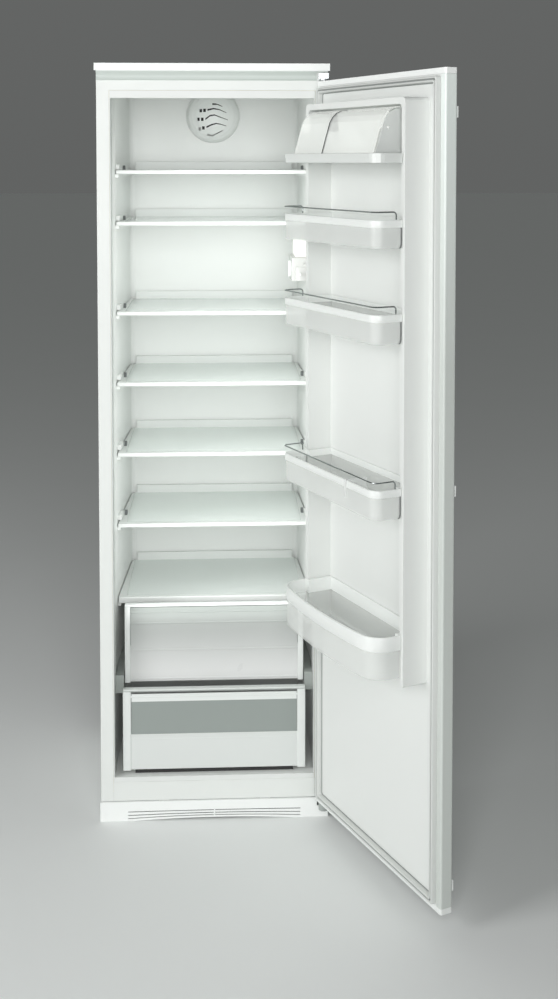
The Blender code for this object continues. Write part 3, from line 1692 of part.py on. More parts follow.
def make_divider():
    """Make the bottle divider: a clip over the fourth balcony's front rim, with a fin inside."""
    bottom = balcony_lows["balcony_4"]
    top = balcony_tops["balcony_4"]
    front = door_inner + balcony_reach + rim_proud
    inner = door_inner + balcony_reach - bin_wall
    tab_low = (divider_x - divider_half, front + seat_gap, top - divider_tab)
    tab_high = (divider_x + divider_half, front + seat_gap + divider_sheet, top + seat_gap + divider_sheet)
    divider = blocks("bottle_divider", [(tab_low, tab_high)], door, "clear_plastic")
    saddle_low = (divider_x - divider_half, inner - divider_sheet * 2, top + seat_gap)
    saddle_high = (divider_x + divider_half, front + seat_gap + divider_sheet / 2, tab_high[2])
    fin_low = (divider_x - divider_sheet / 2, inner - divider_fin_reach, bottom + bin_wall + divider_fin_lift)
    fin_high = (divider_x + divider_sheet / 2, inner - seat_gap * 2, top + seat_gap + divider_sheet / 2)
    join(divider, blocks("divider_saddle", [(saddle_low, saddle_high)], door))
    return join(divider, blocks("divider_fin", [(fin_low, fin_high)], door))


# Dairy box sizes: n runs out from the door's inner face
dairy_height = 0.0185
dairy_top = dairy_low + dairy_height
dairy_rim = 0.009
cheek_sheet = 0.0025
cheek_inset = 0.016
lid_split_x = 0.043
lid_sheet = 0.0018
lid_end_gap = 0.0008
lid_pivot_n = 0.074
lid_pivot_lift = 0.070
lid_pivot_z = dairy_low + lid_pivot_lift
lid_pin_radius = 0.0028
lid_pin_clearance = 0.0001
lid_pin_length = 0.002
post_half_n = 0.008
lid_lift = 0.001
# The lid's side view as (n, height over the box's foot), from the back edge over the top to the front
lid_line = (
    (0.045, 0.1120),
    (0.058, 0.1105),
    (0.070, 0.1050),
    (0.080, 0.0960),
    (0.087, 0.0840),
    (0.092, 0.0670),
    (0.1000, 0.0400),
    (0.1060, 0.0195),
)
# The cheek's side view, a little inside the lid's
cheek_line = (
    (0.0480, 0.1070),
    (0.0580, 0.1055),
    (0.0680, 0.1010),
    (0.0770, 0.0930),
    (0.0830, 0.0825),
    (0.0880, 0.0660),
    (0.0960, 0.0390),
    (0.1060, 0.0120),
)


def make_dairy_box():
    """Make the dairy box: a shallow tray with two cheeks and a middle post that carry the lids."""
    holder = make_bin("dairy_box", dairy_low, dairy_top, dairy_rim, "white_plastic")
    side_view = [(door_inner + n, dairy_low + height) for n, height in cheek_line]
    foot = dairy_low + bin_wall / 2
    side_view = [(door_inner + bin_back, foot)] + [(door_inner + bin_back, side_view[0][1])] + side_view
    side_view = side_view + [(side_view[-1][0], foot)]
    for side in (-1, 1):
        outer = bin_inner_half - cheek_inset
        low = min(side * outer, side * (outer - cheek_sheet))
        name = f"dairy_cheek_{side + 1}"
        join(holder, plate(name, [side_view], low, low + cheek_sheet, "yz", door))
    post_low = (lid_split_x - cheek_sheet / 2, door_inner + lid_pivot_n - post_half_n, foot)
    post_high = (lid_split_x + cheek_sheet / 2, door_inner + lid_pivot_n + post_half_n, lid_pivot_z + post_half_n)
    join(holder, blocks("lid_post", [(post_low, post_high)], door))
    bore_place = (door_inner + lid_pivot_n, lid_pivot_z)
    bore = rods(
        "lid_pin_bore",
        [((-bin_inner_half - overrun, *bore_place), (bin_inner_half + overrun, *bore_place))],
        lid_pin_radius + lid_pin_clearance,
        door,
    )
    return cut(holder, bore)


def lid_section():
    """Give the lid's side view as a closed strip of even thickness."""
    outer = [Vector((door_inner + n, dairy_low + height)) for n, height in lid_line]
    inner = []
    for index, point in enumerate(outer):
        before = outer[max(index - 1, 0)]
        after = outer[min(index + 1, len(outer) - 1)]
        run = (after - before).normalized()
        inner.append(point + Vector((run.y, -run.x)) * lid_sheet)
    return [tuple(point) for point in outer] + [tuple(point) for point in reversed(inner)]


def make_lid(name, low_x, high_x):
    """Make one dairy lid: a bowed clear cover with end webs and pins on its axis."""
    axis = (0.0, door_inner + lid_pivot_n, lid_pivot_z)
    carrier = new_pivot(name, door, axis)
    lid = plate(name, [lid_section()], low_x, high_x, "yz", carrier, "clear_plastic")
    hub = (door_inner + lid_pivot_n, lid_pivot_z)
    web = shrink_towards(lid_section()[2:6], hub) + [
        (hub[0] + lid_pin_radius, hub[1] - lid_pin_radius * 2),
        (hub[0] - lid_pin_radius * 2, hub[1] - lid_pin_radius),
    ]
    for end in (low_x + seat_gap, high_x - lid_sheet - seat_gap):
        join(lid, plate(f"{name}_web_{end:.3f}", [web], end, end + lid_sheet, "yz", carrier))
    pins = [
        ((low_x - lid_pin_length, *hub), (low_x + lid_sheet, *hub)),
        ((high_x - lid_sheet, *hub), (high_x + lid_pin_length, *hub)),
    ]
    return join(lid, rods(name + "_pins", pins, lid_pin_radius, carrier))


def shrink_towards(points, hub):
    """Draw points a little towards the hub, so that a web ends inside its lid's thickness."""
    target = Vector(hub)
    drawn = []
    for point in points:
        run = target - Vector(point)
        drawn.append(tuple(Vector(point) + run.normalized() * (lid_sheet / 2)))
    return drawn


def build():
    """Build every piece of the refrigerator."""
    make_case()
    make_back_panel()
    make_base()
    make_foam()
    make_liner()
    make_evaporator()
    make_front_rail()
    make_top_trim()
    make_grille()
    make_top_hinge()
    make_bottom_hinge()
    make_fan_cover()
    make_fan_motor()
    make_impeller()
    make_control_housing()
    make_knob()
    make_lens()
    make_plunger()
    for name, level in shelf_levels.items():
        make_shelf(name, level, shelf_edge_height)
    make_shelf("crisper_cover", crisper_level, crisper_edge_height)
    make_runner("drawer_runner_left", -1)
    make_runner("drawer_runner_right", 1)
    make_upper_drawer()
    make_lower_drawer()
    make_compressor()
    make_drip_tray()
    make_terminal_box()
    make_condenser()
    hooks = [top - rim_height for top in balcony_tops.values()]
    hooks = hooks + [bottle_balcony_top - bottle_rim_height, dairy_top - dairy_rim]
    make_door_skin()
    make_door_cap("door_top_cap", door_top - cap_height, door_top)
    make_door_cap("door_bottom_cap", door_bottom, door_bottom + cap_height)
    make_door_foam()
    make_door_liner(hooks)
    make_gasket()
    for name, share in slider_shares.items():
        make_panel_slider(name, share)
    for name, top in balcony_tops.items():
        make_bin(name, balcony_lows[name], top, rim_height, "clear_plastic")
        tube(name + "_rail", rail_path(top), rail_wire_radius, door, "chrome")
    make_bin(
        "bottle_balcony",
        bottle_balcony_low,
        bottle_balcony_top,
        bottle_rim_height,
        "clear_plastic",
        bottle_bow,
        bottle_corner,
    )
    make_divider()
    make_dairy_box()
    lid_edge = bin_inner_half - cheek_inset - cheek_sheet - lid_end_gap
    post_edge = cheek_sheet / 2 + lid_end_gap
    make_lid("dairy_lid_left", -lid_edge, lid_split_x - post_edge)
    make_lid("dairy_lid_right", lid_split_x + post_edge, lid_edge)
    bpy.context.view_layer.update()


build()
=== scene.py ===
# %% [markdown]
# # A tall built-in refrigerator with its door open
#
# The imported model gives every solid's place and size. This script dresses it. Each solid gets
# the finish of the real one, the mouldings that need finer forms are made anew over their
# solids, and the light and the camera follow the photograph.

import json
import math

import bpy
from mathutils import Matrix, Vector


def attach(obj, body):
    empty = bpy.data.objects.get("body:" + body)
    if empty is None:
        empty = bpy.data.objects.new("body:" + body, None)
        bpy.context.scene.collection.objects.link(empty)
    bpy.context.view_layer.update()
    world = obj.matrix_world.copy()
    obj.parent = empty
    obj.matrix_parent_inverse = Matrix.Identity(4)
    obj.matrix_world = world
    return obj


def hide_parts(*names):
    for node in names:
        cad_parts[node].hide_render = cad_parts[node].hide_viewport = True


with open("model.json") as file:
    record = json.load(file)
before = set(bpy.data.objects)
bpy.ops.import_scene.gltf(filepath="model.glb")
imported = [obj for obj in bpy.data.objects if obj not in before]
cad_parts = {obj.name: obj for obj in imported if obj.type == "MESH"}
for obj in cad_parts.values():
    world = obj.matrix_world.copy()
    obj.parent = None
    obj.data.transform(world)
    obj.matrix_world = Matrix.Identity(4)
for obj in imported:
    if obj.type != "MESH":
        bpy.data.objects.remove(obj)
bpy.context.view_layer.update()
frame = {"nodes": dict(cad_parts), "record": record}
nodes = frame["nodes"]

# %% [markdown]
# ## Where things are
#
# On the real appliance everything is measured from the cabinet's front plane, so the pieces are
# drawn in that frame: x to the right, y back, z up. What hangs on the door is drawn as if the
# door were shut, with n running out from the door's inner face, and is then turned about the
# hinge pins by the angle at which the door stands. That is easier than working out slanted
# places by hand, and one number changes the door's angle.

# %% Frames for the cabinet and for the open door
CABINET = Matrix.Translation((0.0, -0.235, 0.0))
PIN = Vector((0.256, -0.026, 0.0))
DOOR_TURN = math.radians(113.7)
DOOR_FACE = -0.012
SHUT_TO_OPEN = Matrix.Translation(PIN) @ Matrix.Rotation(DOOR_TURN, 4, "Z") @ Matrix.Translation(-PIN)
DOOR = CABINET @ SHUT_TO_OPEN @ Matrix.Translation((0.0, DOOR_FACE, 0.0))
print("door turned by", round(math.degrees(DOOR_TURN), 1))

# %% [markdown]
# ## Finishes
#
# Almost everything on a refrigerator is white, so the pieces are told apart by gloss, by the
# grain of the surface and by small shifts of tint. One maker builds them all: the colour drifts
# slowly over the piece, the roughness wanders, and a fine noise gives the bump that moulded
# plastic and sprayed enamel really have. Two or three numbers then set each finish apart.


# %% Tools for a finish
def noise(tree, where, scale, detail=3.0, stretch=(1.0, 1.0, 1.0)):
    """Give a noise of so many cells a metre, drawn out along an axis if asked."""
    mapping = tree.nodes.new("ShaderNodeMapping")
    mapping.inputs["Scale"].default_value = stretch
    texture = tree.nodes.new("ShaderNodeTexNoise")
    texture.inputs["Scale"].default_value = scale
    texture.inputs["Detail"].default_value = detail
    tree.links.new(where, mapping.inputs["Vector"])
    tree.links.new(mapping.outputs["Vector"], texture.inputs["Vector"])
    return texture.outputs["Fac"]


def blend(tree, value, low, high):
    """Blend two colours by a value."""
    mix = tree.nodes.new("ShaderNodeMix")
    mix.data_type = "RGBA"
    mix.inputs["A"].default_value = (*low, 1.0)
    mix.inputs["B"].default_value = (*high, 1.0)
    tree.links.new(value, mix.inputs["Factor"])
    return mix.outputs["Result"]


def span_of(tree, value, low, high, from_low=0.0, from_high=1.0):
    """Stretch a value from one span to another."""
    stretch = tree.nodes.new("ShaderNodeMapRange")
    stretch.inputs["From Min"].default_value = from_low
    stretch.inputs["From Max"].default_value = from_high
    stretch.inputs["To Min"].default_value = low
    stretch.inputs["To Max"].default_value = high
    tree.links.new(value, stretch.inputs["Value"])
    return stretch.outputs["Result"]


print("finish tools ready")

# %% [markdown]
# The maker itself comes next. All its textures are laid out in the object's own coordinates, so
# the grain keeps its size on a large wall and on a small knob, and nothing has to be unwrapped.
# A bump stands for the grain, because true geometry that fine would take millions of faces.


# %% The finish maker
LARGE_DRIFT = 2.3
SMALL_WANDER = 14.0
BUMP_STRENGTH = 0.6
COAT_ROUGHNESS = 0.08
LEAST_ROUGHNESS = 0.02
IOR = 1.5
LAMP_WARMTH = (1.0, 0.99, 0.95, 1.0)
EVEN = (1.0, 1.0, 1.0)


def make_finish(
    name, colour, roughness, drift=0.02, grain=900.0, depth=0.00004, metallic=0.0, alpha=1.0,
    coat=0.0, stretch=EVEN, spread=0.06, glow=0.0, fade=None,
):
    """Make a finish: drifting colour, wandering roughness and a fine bump."""
    made = bpy.data.materials.new(name)
    made.use_nodes = True
    tree = made.node_tree
    shader = tree.nodes["Principled BSDF"]
    where = tree.nodes.new("ShaderNodeTexCoord").outputs["Object"]
    low = [c * (1 - drift) for c in colour]
    high = [min(1.0, c * (1 + drift)) for c in colour]
    tint = blend(tree, noise(tree, where, LARGE_DRIFT), low, high)
    if fade:
        tint = fade_upwards(tree, where, tint, *fade)
    tree.links.new(tint, shader.inputs["Base Color"])
    smoothest = max(LEAST_ROUGHNESS, roughness - spread)
    patches = noise(tree, where, SMALL_WANDER, 4.0, stretch)
    tree.links.new(span_of(tree, patches, smoothest, roughness + spread), shader.inputs["Roughness"])
    bump = tree.nodes.new("ShaderNodeBump")
    bump.inputs["Distance"].default_value = depth
    bump.inputs["Strength"].default_value = BUMP_STRENGTH
    tree.links.new(noise(tree, where, grain, 2.0, stretch), bump.inputs["Height"])
    tree.links.new(bump.outputs["Normal"], shader.inputs["Normal"])
    shader.inputs["Metallic"].default_value = metallic
    shader.inputs["Alpha"].default_value = alpha
    shader.inputs["Coat Weight"].default_value = coat
    shader.inputs["Coat Roughness"].default_value = COAT_ROUGHNESS
    shader.inputs["IOR"].default_value = IOR
    # The emission is the lamp lens's own glow; on the dairy lids it is a painted glow.
    if glow:
        shader.inputs["Emission Color"].default_value = LAMP_WARMTH
        shader.inputs["Emission Strength"].default_value = glow
    made.diffuse_color = (*colour, alpha)
    return made


def fade_upwards(tree, where, tint, low_z, high_z, upper):
    """Let a tint change into another one between two heights."""
    split = tree.nodes.new("ShaderNodeSeparateXYZ")
    tree.links.new(where, split.inputs["Vector"])
    mix = tree.nodes.new("ShaderNodeMix")
    mix.data_type = "RGBA"
    mix.inputs["B"].default_value = (*upper, 1.0)
    tree.links.new(span_of(tree, split.outputs["Z"], 0.0, 1.0, low_z, high_z), mix.inputs["Factor"])
    tree.links.new(tint, mix.inputs["A"])
    return mix.outputs["Result"]


print("finish maker ready")

# %% [markdown]
# ## The finishes of this refrigerator
#
# Sprayed enamel has a soft orange-peel and a clear coat. The cavity and the door's inside are
# formed from polystyrene sheet, a little greyer and duller. Glass and clear mouldings let light
# through by their alpha, without refraction: thin panes bend light very little, and this keeps
# the shadows under the shelves light, as they are in the photograph.
#
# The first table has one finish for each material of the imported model.

# %% Make the finish of each material
FINISH = {
    "white_enamel": make_finish(
        "enamel_on_steel", (0.81, 0.835, 0.81), 0.42, grain=260.0, depth=0.00003, coat=0.06
    ),
    "white_plastic": make_finish("satin_white_plastic", (0.83, 0.855, 0.835), 0.34, grain=1400.0),
    "liner_plastic": make_finish("formed_liner_sheet", (0.79, 0.81, 0.79), 0.42, grain=600.0, depth=0.00006),
    "grey_plastic": make_finish("light_grey_plastic", (0.36, 0.39, 0.37), 0.45, grain=1200.0),
    "gasket_rubber": make_finish("soft_white_seal", (0.66, 0.68, 0.66), 0.62, grain=500.0),
    "foam": make_finish("rigid_foam", (0.78, 0.70, 0.42), 0.9, grain=380.0, depth=0.0003),
    "zinc_steel": make_finish(
        "zinc_coated_steel", (0.50, 0.52, 0.53), 0.38, drift=0.10, grain=70.0, metallic=1.0
    ),
    "black_enamel": make_finish("black_baked_paint", (0.022, 0.022, 0.023), 0.38, grain=500.0),
    "aluminium": make_finish(
        "mill_aluminium", (0.72, 0.73, 0.74), 0.34, metallic=1.0, grain=300.0, stretch=(1, 1, 12)
    ),
    "chrome": make_finish(
        "polished_chrome", (0.30, 0.32, 0.32), 0.12, metallic=1.0, depth=0.00001, spread=0.03
    ),
    "shelf_glass": make_finish(
        "shelf_glass", (0.93, 0.99, 0.955), 0.06, alpha=0.70, grain=40.0, depth=0.00001, spread=0.02
    ),
    "clear_plastic": make_finish(
        "clear_moulding", (0.93, 0.95, 0.94), 0.16, alpha=0.30, grain=120.0, depth=0.00003
    ),
    "lamp_plastic": make_finish("opal_lens", (0.90, 0.90, 0.86), 0.3, alpha=0.95, grain=500.0, glow=0.35),
}
print("finishes by material", len(FINISH))

# %% [markdown]
# Some pieces differ from the rest of their material. The door's outer skin is greyer than the case
# as painted shade, and gets lighter towards its top as painted light. The trim's cove is greyer than
# its bright upper strip: painted shade below, painted light above. Each of these two is one finish
# that fades into another tint between two heights.

# %% Make the finishes of single pieces
frosted = make_finish("frosted_moulding", (0.90, 0.92, 0.90), 0.34, alpha=0.38, grain=300.0, depth=0.00003)
# Painted shade greys the door's skin, and painted light lightens it towards its top.
DOOR_PAINTED_LIGHT_FADE = (1.15, 1.76, (0.84, 0.90, 0.87))
door_enamel_painted_shade = make_finish(
    "door_enamel_painted_shade", (0.60, 0.635, 0.605), 0.40, grain=260.0, depth=0.00003, coat=0.06, fade=DOOR_PAINTED_LIGHT_FADE
)
dark_grey_print_and_shade = make_finish("dark_grey_print_and_shade", (0.13, 0.14, 0.14), 0.45, grain=700.0)
painted_shade_seam = make_finish("painted_shade_seam", (0.30, 0.32, 0.31), 0.5, grain=300.0, depth=0.00003)
# Painted shade greys the trim's cove, and painted light brightens the strip above it.
COVE_SHADE_TO_STRIP_LIGHT = (1.7560, 1.7585, (0.94, 0.97, 0.95))
trim_painted_shade_and_light = make_finish(
    "trim_painted_shade_and_light", (0.59, 0.645, 0.61), 0.36, grain=1400.0, drift=0.01, fade=COVE_SHADE_TO_STRIP_LIGHT
)
# A brighter white for the door's top cap and the base grille: painted light where a light from above would
# fall.
painted_light_white = make_finish("painted_light_white_plastic", (0.94, 0.96, 0.945), 0.36, grain=1400.0, drift=0.01)
housing_grey = make_finish("housing_grey_white", (0.62, 0.63, 0.61), 0.40, grain=1200.0)
painted_shade_smoke = make_finish("painted_shade_grey_window", (0.36, 0.40, 0.38), 0.30, alpha=0.86, grain=200.0, depth=0.00002)
black_rubber_and_painted_shade = make_finish("black_rubber_and_painted_shade", (0.03, 0.03, 0.03), 0.7, grain=700.0)
bare_copper = make_finish("drawn_copper", (0.55, 0.27, 0.17), 0.32, metallic=1.0, grain=200.0)
print("last finish made", bare_copper.name)

# %% [markdown]
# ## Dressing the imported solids
#
# Sheet metal and moulded plastic have no knife edges: the steel is folded round a small radius
# and a mould is polished round at its corners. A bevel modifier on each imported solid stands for
# that and catches the light along every edge, which is what makes white on white readable. Round
# tubes and shells need no bevel; they are only shaded smooth.


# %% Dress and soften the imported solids
def dress(obj, material):
    """Put one finish on an object."""
    obj.data.materials.clear()
    obj.data.materials.append(material)
    return obj


slot_of = {entry["node"]: entry["material_slot"] for entry in frame["record"]["subparts"]}
RAILS = tuple(f"balcony_{number}_rail" for number in (2, 3, 4))
ROUND_NODES = ("compressor", "condenser", *RAILS, "fan_cover")
FOLDED_STEEL = ("outer_case", "door_skin", "base_frame")
STEEL_EDGE = 0.0003
MOULDED_EDGE = 0.0006
BEVEL_FROM = math.radians(40)
CREASE_FROM = math.radians(42)
for name, obj in nodes.items():
    dress(obj, FINISH[slot_of[name]])
    obj.data.shade_smooth()
    if name in ROUND_NODES:
        continue
    bevel = obj.modifiers.new("edge", "BEVEL")
    bevel.width = STEEL_EDGE if name in FOLDED_STEEL else MOULDED_EDGE
    bevel.segments = 2
    bevel.limit_method = "ANGLE"
    bevel.angle_limit = BEVEL_FROM
    bevel.harden_normals = True
for name in ROUND_NODES:
    nodes[name].data.set_sharp_from_angle(angle=CREASE_FROM)
print("softened", len(nodes) - len(ROUND_NODES))

# %% [markdown]
# A few solids share a material with their neighbours but are dressed once more. The control
# housing comes from another mould. The door's skin and the trim carry painted shade and painted
# light, the top cap and the grille get a brighter white as painted light, and the shelf frames and
# the dairy box get a darker white as painted shade.

# %% Dress the pieces that differ
dress(nodes["door_skin"], door_enamel_painted_shade)
dress(nodes["control_housing"], housing_grey)
dress(nodes["top_trim"], trim_painted_shade_and_light)
for name in ("door_top_cap", "base_grille"):
    dress(nodes[name], painted_light_white)
# The shelf frames and the dairy box get a darker copy of the white plastic: painted shade that tones down the
# front light on their faces.
painted_shade_white = make_finish("shelf_trim_painted_shade", (0.715, 0.74, 0.72), 0.36, grain=1400.0)
for name in nodes:
    if name == "dairy_box" or name.endswith("_frame") and name.startswith(("shelf", "crisper")):
        dress(nodes[name], painted_shade_white)
print("dressed", len(nodes))

# %% [markdown]
# ## The dairy lids
#
# The two lids are curved and clear, and their finish has a painted glow that stands for light
# entering the sheet. Where they meet, the cut edges get a dark material, painted shade for the gap
# between them. A second material goes on just the faces that look along the door and lie away
# from the outer ends, so the solid itself stays as it is.

# %% Dress the dairy lids
# Painted light: the lids' finish glows a little for the light passing through them.
lid_clear_painted_glow = make_finish(
    "lid_clear_painted_glow", (0.96, 1.0, 0.965), 0.12, alpha=0.34, grain=90.0, depth=0.00002, glow=0.26
)
# Painted shade: a dark material on the lids' meeting edges for the shade in the gap between them.
lid_edge_painted_shade = make_finish("lid_edge_painted_shade", (0.10, 0.11, 0.11), 0.4, grain=500.0)
SEAM_ZONE = 0.12
FACING = 0.95
along_door = DOOR.to_3x3() @ Vector((1, 0, 0))
edge_faces = 0
for name in ("dairy_lid_left", "dairy_lid_right"):
    lid = nodes[name]
    dress(lid, lid_clear_painted_glow)
    lid.data.materials.append(lid_edge_painted_shade)
    for face in lid.data.polygons:
        near_seam = abs((DOOR.inverted() @ face.center).x) < SEAM_ZONE
        if near_seam and abs(face.normal.dot(along_door)) > FACING:
            face.material_index = 1
            edge_faces += 1
print("dark edge faces", edge_faces)

# %% [markdown]
# ## Tools for new pieces
#
# A moulded bin is a skin of even thickness, so it is made by lofting: a closed outline is drawn
# at several heights, each a little larger or smaller, and the outlines are joined by faces. The
# same tool makes the bins, the rims and the seal. A bar of constant section is easier still: its
# section is drawn once and pulled along.


# %% Outlines and lofts
def rounded(corners, steps=6):
    """Turn corners (u, v, radius) of a closed outline into points, with an arc at each radius."""
    points = []
    for index, (u, v, radius) in enumerate(corners):
        corner = Vector((u, v))
        before = Vector(corners[index - 1][:2]) - corner
        after = Vector(corners[(index + 1) % len(corners)][:2]) - corner
        if radius <= 0.0:
            points.append(corner)
            continue
        half_angle = before.angle(after) / 2
        along = radius / math.tan(half_angle)
        inward = (before.normalized() + after.normalized()).normalized()
        centre = corner + inward * (radius / math.sin(half_angle))
        start = corner + before.normalized() * along - centre
        sweep = start.angle_signed(corner + after.normalized() * along - centre)
        for step in range(steps + 1):
            spoke = start.copy()
            spoke.rotate(Matrix.Rotation(-sweep * step / steps, 2))
            points.append(centre + spoke)
    return points


def box_outline(half, front, back, radius):
    """Give the plan of a box with rounded upright edges."""
    corners = ((-half, front), (half, front), (half, back), (-half, back))
    return rounded([(u, v, radius) for u, v in corners])


SIDES = {"left": -1, "right": 1}


def span_at(side, near, far):
    """Give the two ends of a span on the left (-1) or right (1), in rising order."""
    return sorted((side * near, side * far))


print("outline tools ready")

# %% [markdown]
# The next tools turn outlines into pieces. A mesh could be extruded by hand in edit mode, but
# points and faces written straight into the mesh are quick and give the same result on each run.
# Each piece is then hung on the body it moves with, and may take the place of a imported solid.

# %% Pieces, lofts and bars
SHARP_FROM = 35.0


def hang(obj, body, replaced):
    """Tell which body a piece rides on and which solids it stands for."""
    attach(obj, body)
    if replaced:
        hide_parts(*replaced)
    return obj


def piece_from(name, points, faces, place, finish, sharp=SHARP_FROM):
    """Make a mesh piece in a frame, smooth but for its sharp edges."""
    mesh = bpy.data.meshes.new(name)
    mesh.from_pydata([place @ Vector(point) for point in points], [], faces)
    mesh.validate()
    mesh.shade_smooth()
    mesh.set_sharp_from_angle(angle=math.radians(sharp))
    obj = bpy.data.objects.new(name, mesh)
    bpy.context.scene.collection.objects.link(obj)
    mesh.materials.append(finish)
    return obj


def loft(name, rings, place, finish, closed=False):
    """Join rings of equal count by faces; cap both ends, or join the last ring to the first."""
    count = len(rings[0])
    points = [point for ring in rings for point in ring]
    faces = []
    for level in range(len(rings) if closed else len(rings) - 1):
        upper = (level + 1) % len(rings)
        for index in range(count):
            turn = (index + 1) % count
            low_edge = (level * count + index, level * count + turn)
            faces.append((*low_edge, upper * count + turn, upper * count + index))
    if not closed:
        faces.append(tuple(range(count))[::-1])
        faces.append(tuple(range((len(rings) - 1) * count, len(rings) * count)))
    return piece_from(name, points, faces, place, finish)


def bar(name, section, start, end, place, finish):
    """Pull a section (y, z) along x."""
    rings = [[(x, u, v) for u, v in section] for x in (start, end)]
    return loft(name, rings, place, finish)


def post(name, plan, low, high, place, finish):
    """Pull a plan (x, y) upwards."""
    return loft(name, [at_height(plan, z) for z in (low, high)], place, finish)


def at_height(plan, z):
    """Lift a plan to a height."""
    return [(point[0], point[1], z) for point in plan]


print("piece tools ready")

# %% [markdown]
# ## The balconies on the door
#
# Each balcony is a clear moulding with a white rim. Between the dykes it is narrow and its rim
# hooks over two lugs; in front of them it widens to hide them. Real rims are clipped on, so rim
# and bin are two pieces here, which also lets the white meet the clear in a clean line. The
# lowest one, for bottles, has a bowed front and large corners.


# %% Draw a balcony's plan
BIN_NARROW = 0.1905
BIN_WIDE = 0.203
BIN_SHOULDER = 0.0585
BIN_REACH = 0.120
BIN_BACK = 0.001
BIN_WALL = 0.0025
BIN_CORNER = 0.022
BACK_SWELL = 0.0004
BOW_STEPS = 6
RIM_PROUD = 0.0015
RIM_HOOK = 0.006


def balcony_plan(inset, hook=0.0, corner=BIN_CORNER, bow=0.0):
    """Give the plan: narrow between the dykes, wide and perhaps bowed in front of them."""
    narrow = BIN_NARROW + hook - inset
    wide = BIN_WIDE - inset
    back = BIN_BACK + max(inset, -BACK_SWELL)
    shoulder = BIN_SHOULDER + max(inset, -BACK_SWELL)
    front = BIN_REACH - inset
    bowed = []
    for step in range(2, 2 * BOW_STEPS - 1):
        x = wide * (1 - step / BOW_STEPS)
        bowed.append((x, front + bow * (1 - (x / wide) ** 2), 0.0))
    right = [(-narrow, back), (narrow, back), (narrow, shoulder), (wide, shoulder)]
    right = [(x, y, 0.0) for x, y in right] + [(wide, front, corner - inset)]
    left = [(-wide, front, corner - inset), (-wide, shoulder, 0.0), (-narrow, shoulder, 0.0)]
    return rounded(right + bowed + left)


print("balcony plan points", len(balcony_plan(0.0)))

# %% [markdown]
# A bin's wall is followed from its foot up the outside, over the edge and down the inside, in
# pairs of (inset, height). A rim is followed in the same way, but its last ring joins the first,
# so it is a closed band that needs no caps. Small steps near a corner stand for its rounding.


# %% Shape a bin and a rim
def bin_rings(low, edge, **shape):
    """Give a bin's rings, up its outside to the edge under the rim and down its inside."""
    outside = [(0.0045, low), (0.0014, low + 0.0009), (0.0003, low + 0.0028), (0.0, low + 0.006), (0.0, edge)]
    inside = [(BIN_WALL, edge), (BIN_WALL, low + 0.008), (BIN_WALL + 0.004, low + BIN_WALL)]
    return [at_height(balcony_plan(inset, **shape), z) for inset, z in outside + inside]


def rim_rings(foot, top, **shape):
    """Give a rim's rings; the outer ones are drawn out sideways to hook over the lugs."""
    outer = [(-RIM_PROUD + 0.0008, foot), (-RIM_PROUD, foot + 0.0012), (-RIM_PROUD, top - 0.0016)]
    outer = outer + [(-RIM_PROUD + 0.0006, top - 0.0004), (-RIM_PROUD + 0.0018, top)]
    inner = [(BIN_WALL - 0.0008, top), (BIN_WALL, top - 0.001), (BIN_WALL + 0.0002, foot + 0.0006)]
    hook = RIM_HOOK - RIM_PROUD
    hooked = [at_height(balcony_plan(inset, hook, **shape), z) for inset, z in outer]
    return hooked + [at_height(balcony_plan(inset, **shape), z) for inset, z in inner]


print("bin and rim shapes ready")


# %% Make the bins and their rims
RIM_GRIP = 0.001


def make_balcony(node, body, low, top, rim, **shape):
    """Make one balcony: a clear bin and a white rim that grips its edge."""
    foot = top - rim
    bin_piece = loft(node + "_bin", bin_rings(low, foot + RIM_GRIP, **shape), DOOR, frosted)
    hang(bin_piece, body, [node])
    rings = rim_rings(foot, top, **shape)
    rim_piece = loft(node + "_rim", rings, DOOR, FINISH["white_plastic"], closed=True)
    hang(rim_piece, body, [node])


BALCONIES = {
    "balcony_2": ("balcony_two", 1.379, 1.436),
    "balcony_3": ("balcony_three", 1.190, 1.250),
    "balcony_4": ("balcony_four", 0.841, 0.902),
}
RIM_HEIGHT = 0.015
for node, (body, low, top) in BALCONIES.items():
    make_balcony(node, body, low, top, RIM_HEIGHT)
make_balcony("bottle_balcony", "bottle_bin", 0.518, 0.606, 0.030, corner=0.045, bow=0.016)
print("balconies", len(BALCONIES) + 1)

# %% [markdown]
# ## The bins' ends
#
# Where a bin's side meets the dyke, the moulding turns in on itself, and looking along that
# thickness the clear plastic goes dark. A thin rib at each end in a smoky grey of painted shade and
# a darker painted shadow line that curls in under the bin give that mark. The line is a section
# drawn in (n, z) and pulled a few millimetres along x.

# %% Make the painted shadow lines where the bins end
SHADOW_LINE_SPAN = (0.2004, 0.2032)


def painted_shadow_line_section(low, foot):
    """Give the section of a painted shadow line: upright, then curled forward under the bin."""
    curl = [(0.0587, 0.0080), (0.0600, 0.0040), (0.0620, 0.0010), (0.0640, 0.0010)]
    back = [(0.0640, 0.0026), (0.0624, 0.0036), (0.0608, 0.0100)]
    return [(n, low + rise) for n, rise in curl + back] + [(0.0608, foot), (0.0587, foot)]


for node, (body, low, top) in BALCONIES.items():
    for side_name, side in SIDES.items():
        section = painted_shadow_line_section(low, top - RIM_HEIGHT)
        line_name = f"{node}_painted_shadow_line_{side_name}"
        # A painted shadow line where the bin meets the dyke.
        painted_shadow_line = bar(line_name, section, *span_at(side, *SHADOW_LINE_SPAN), DOOR, dark_grey_print_and_shade)
        hang(painted_shadow_line, body, [])
print("end lines", len(SIDES) * len(BALCONIES))

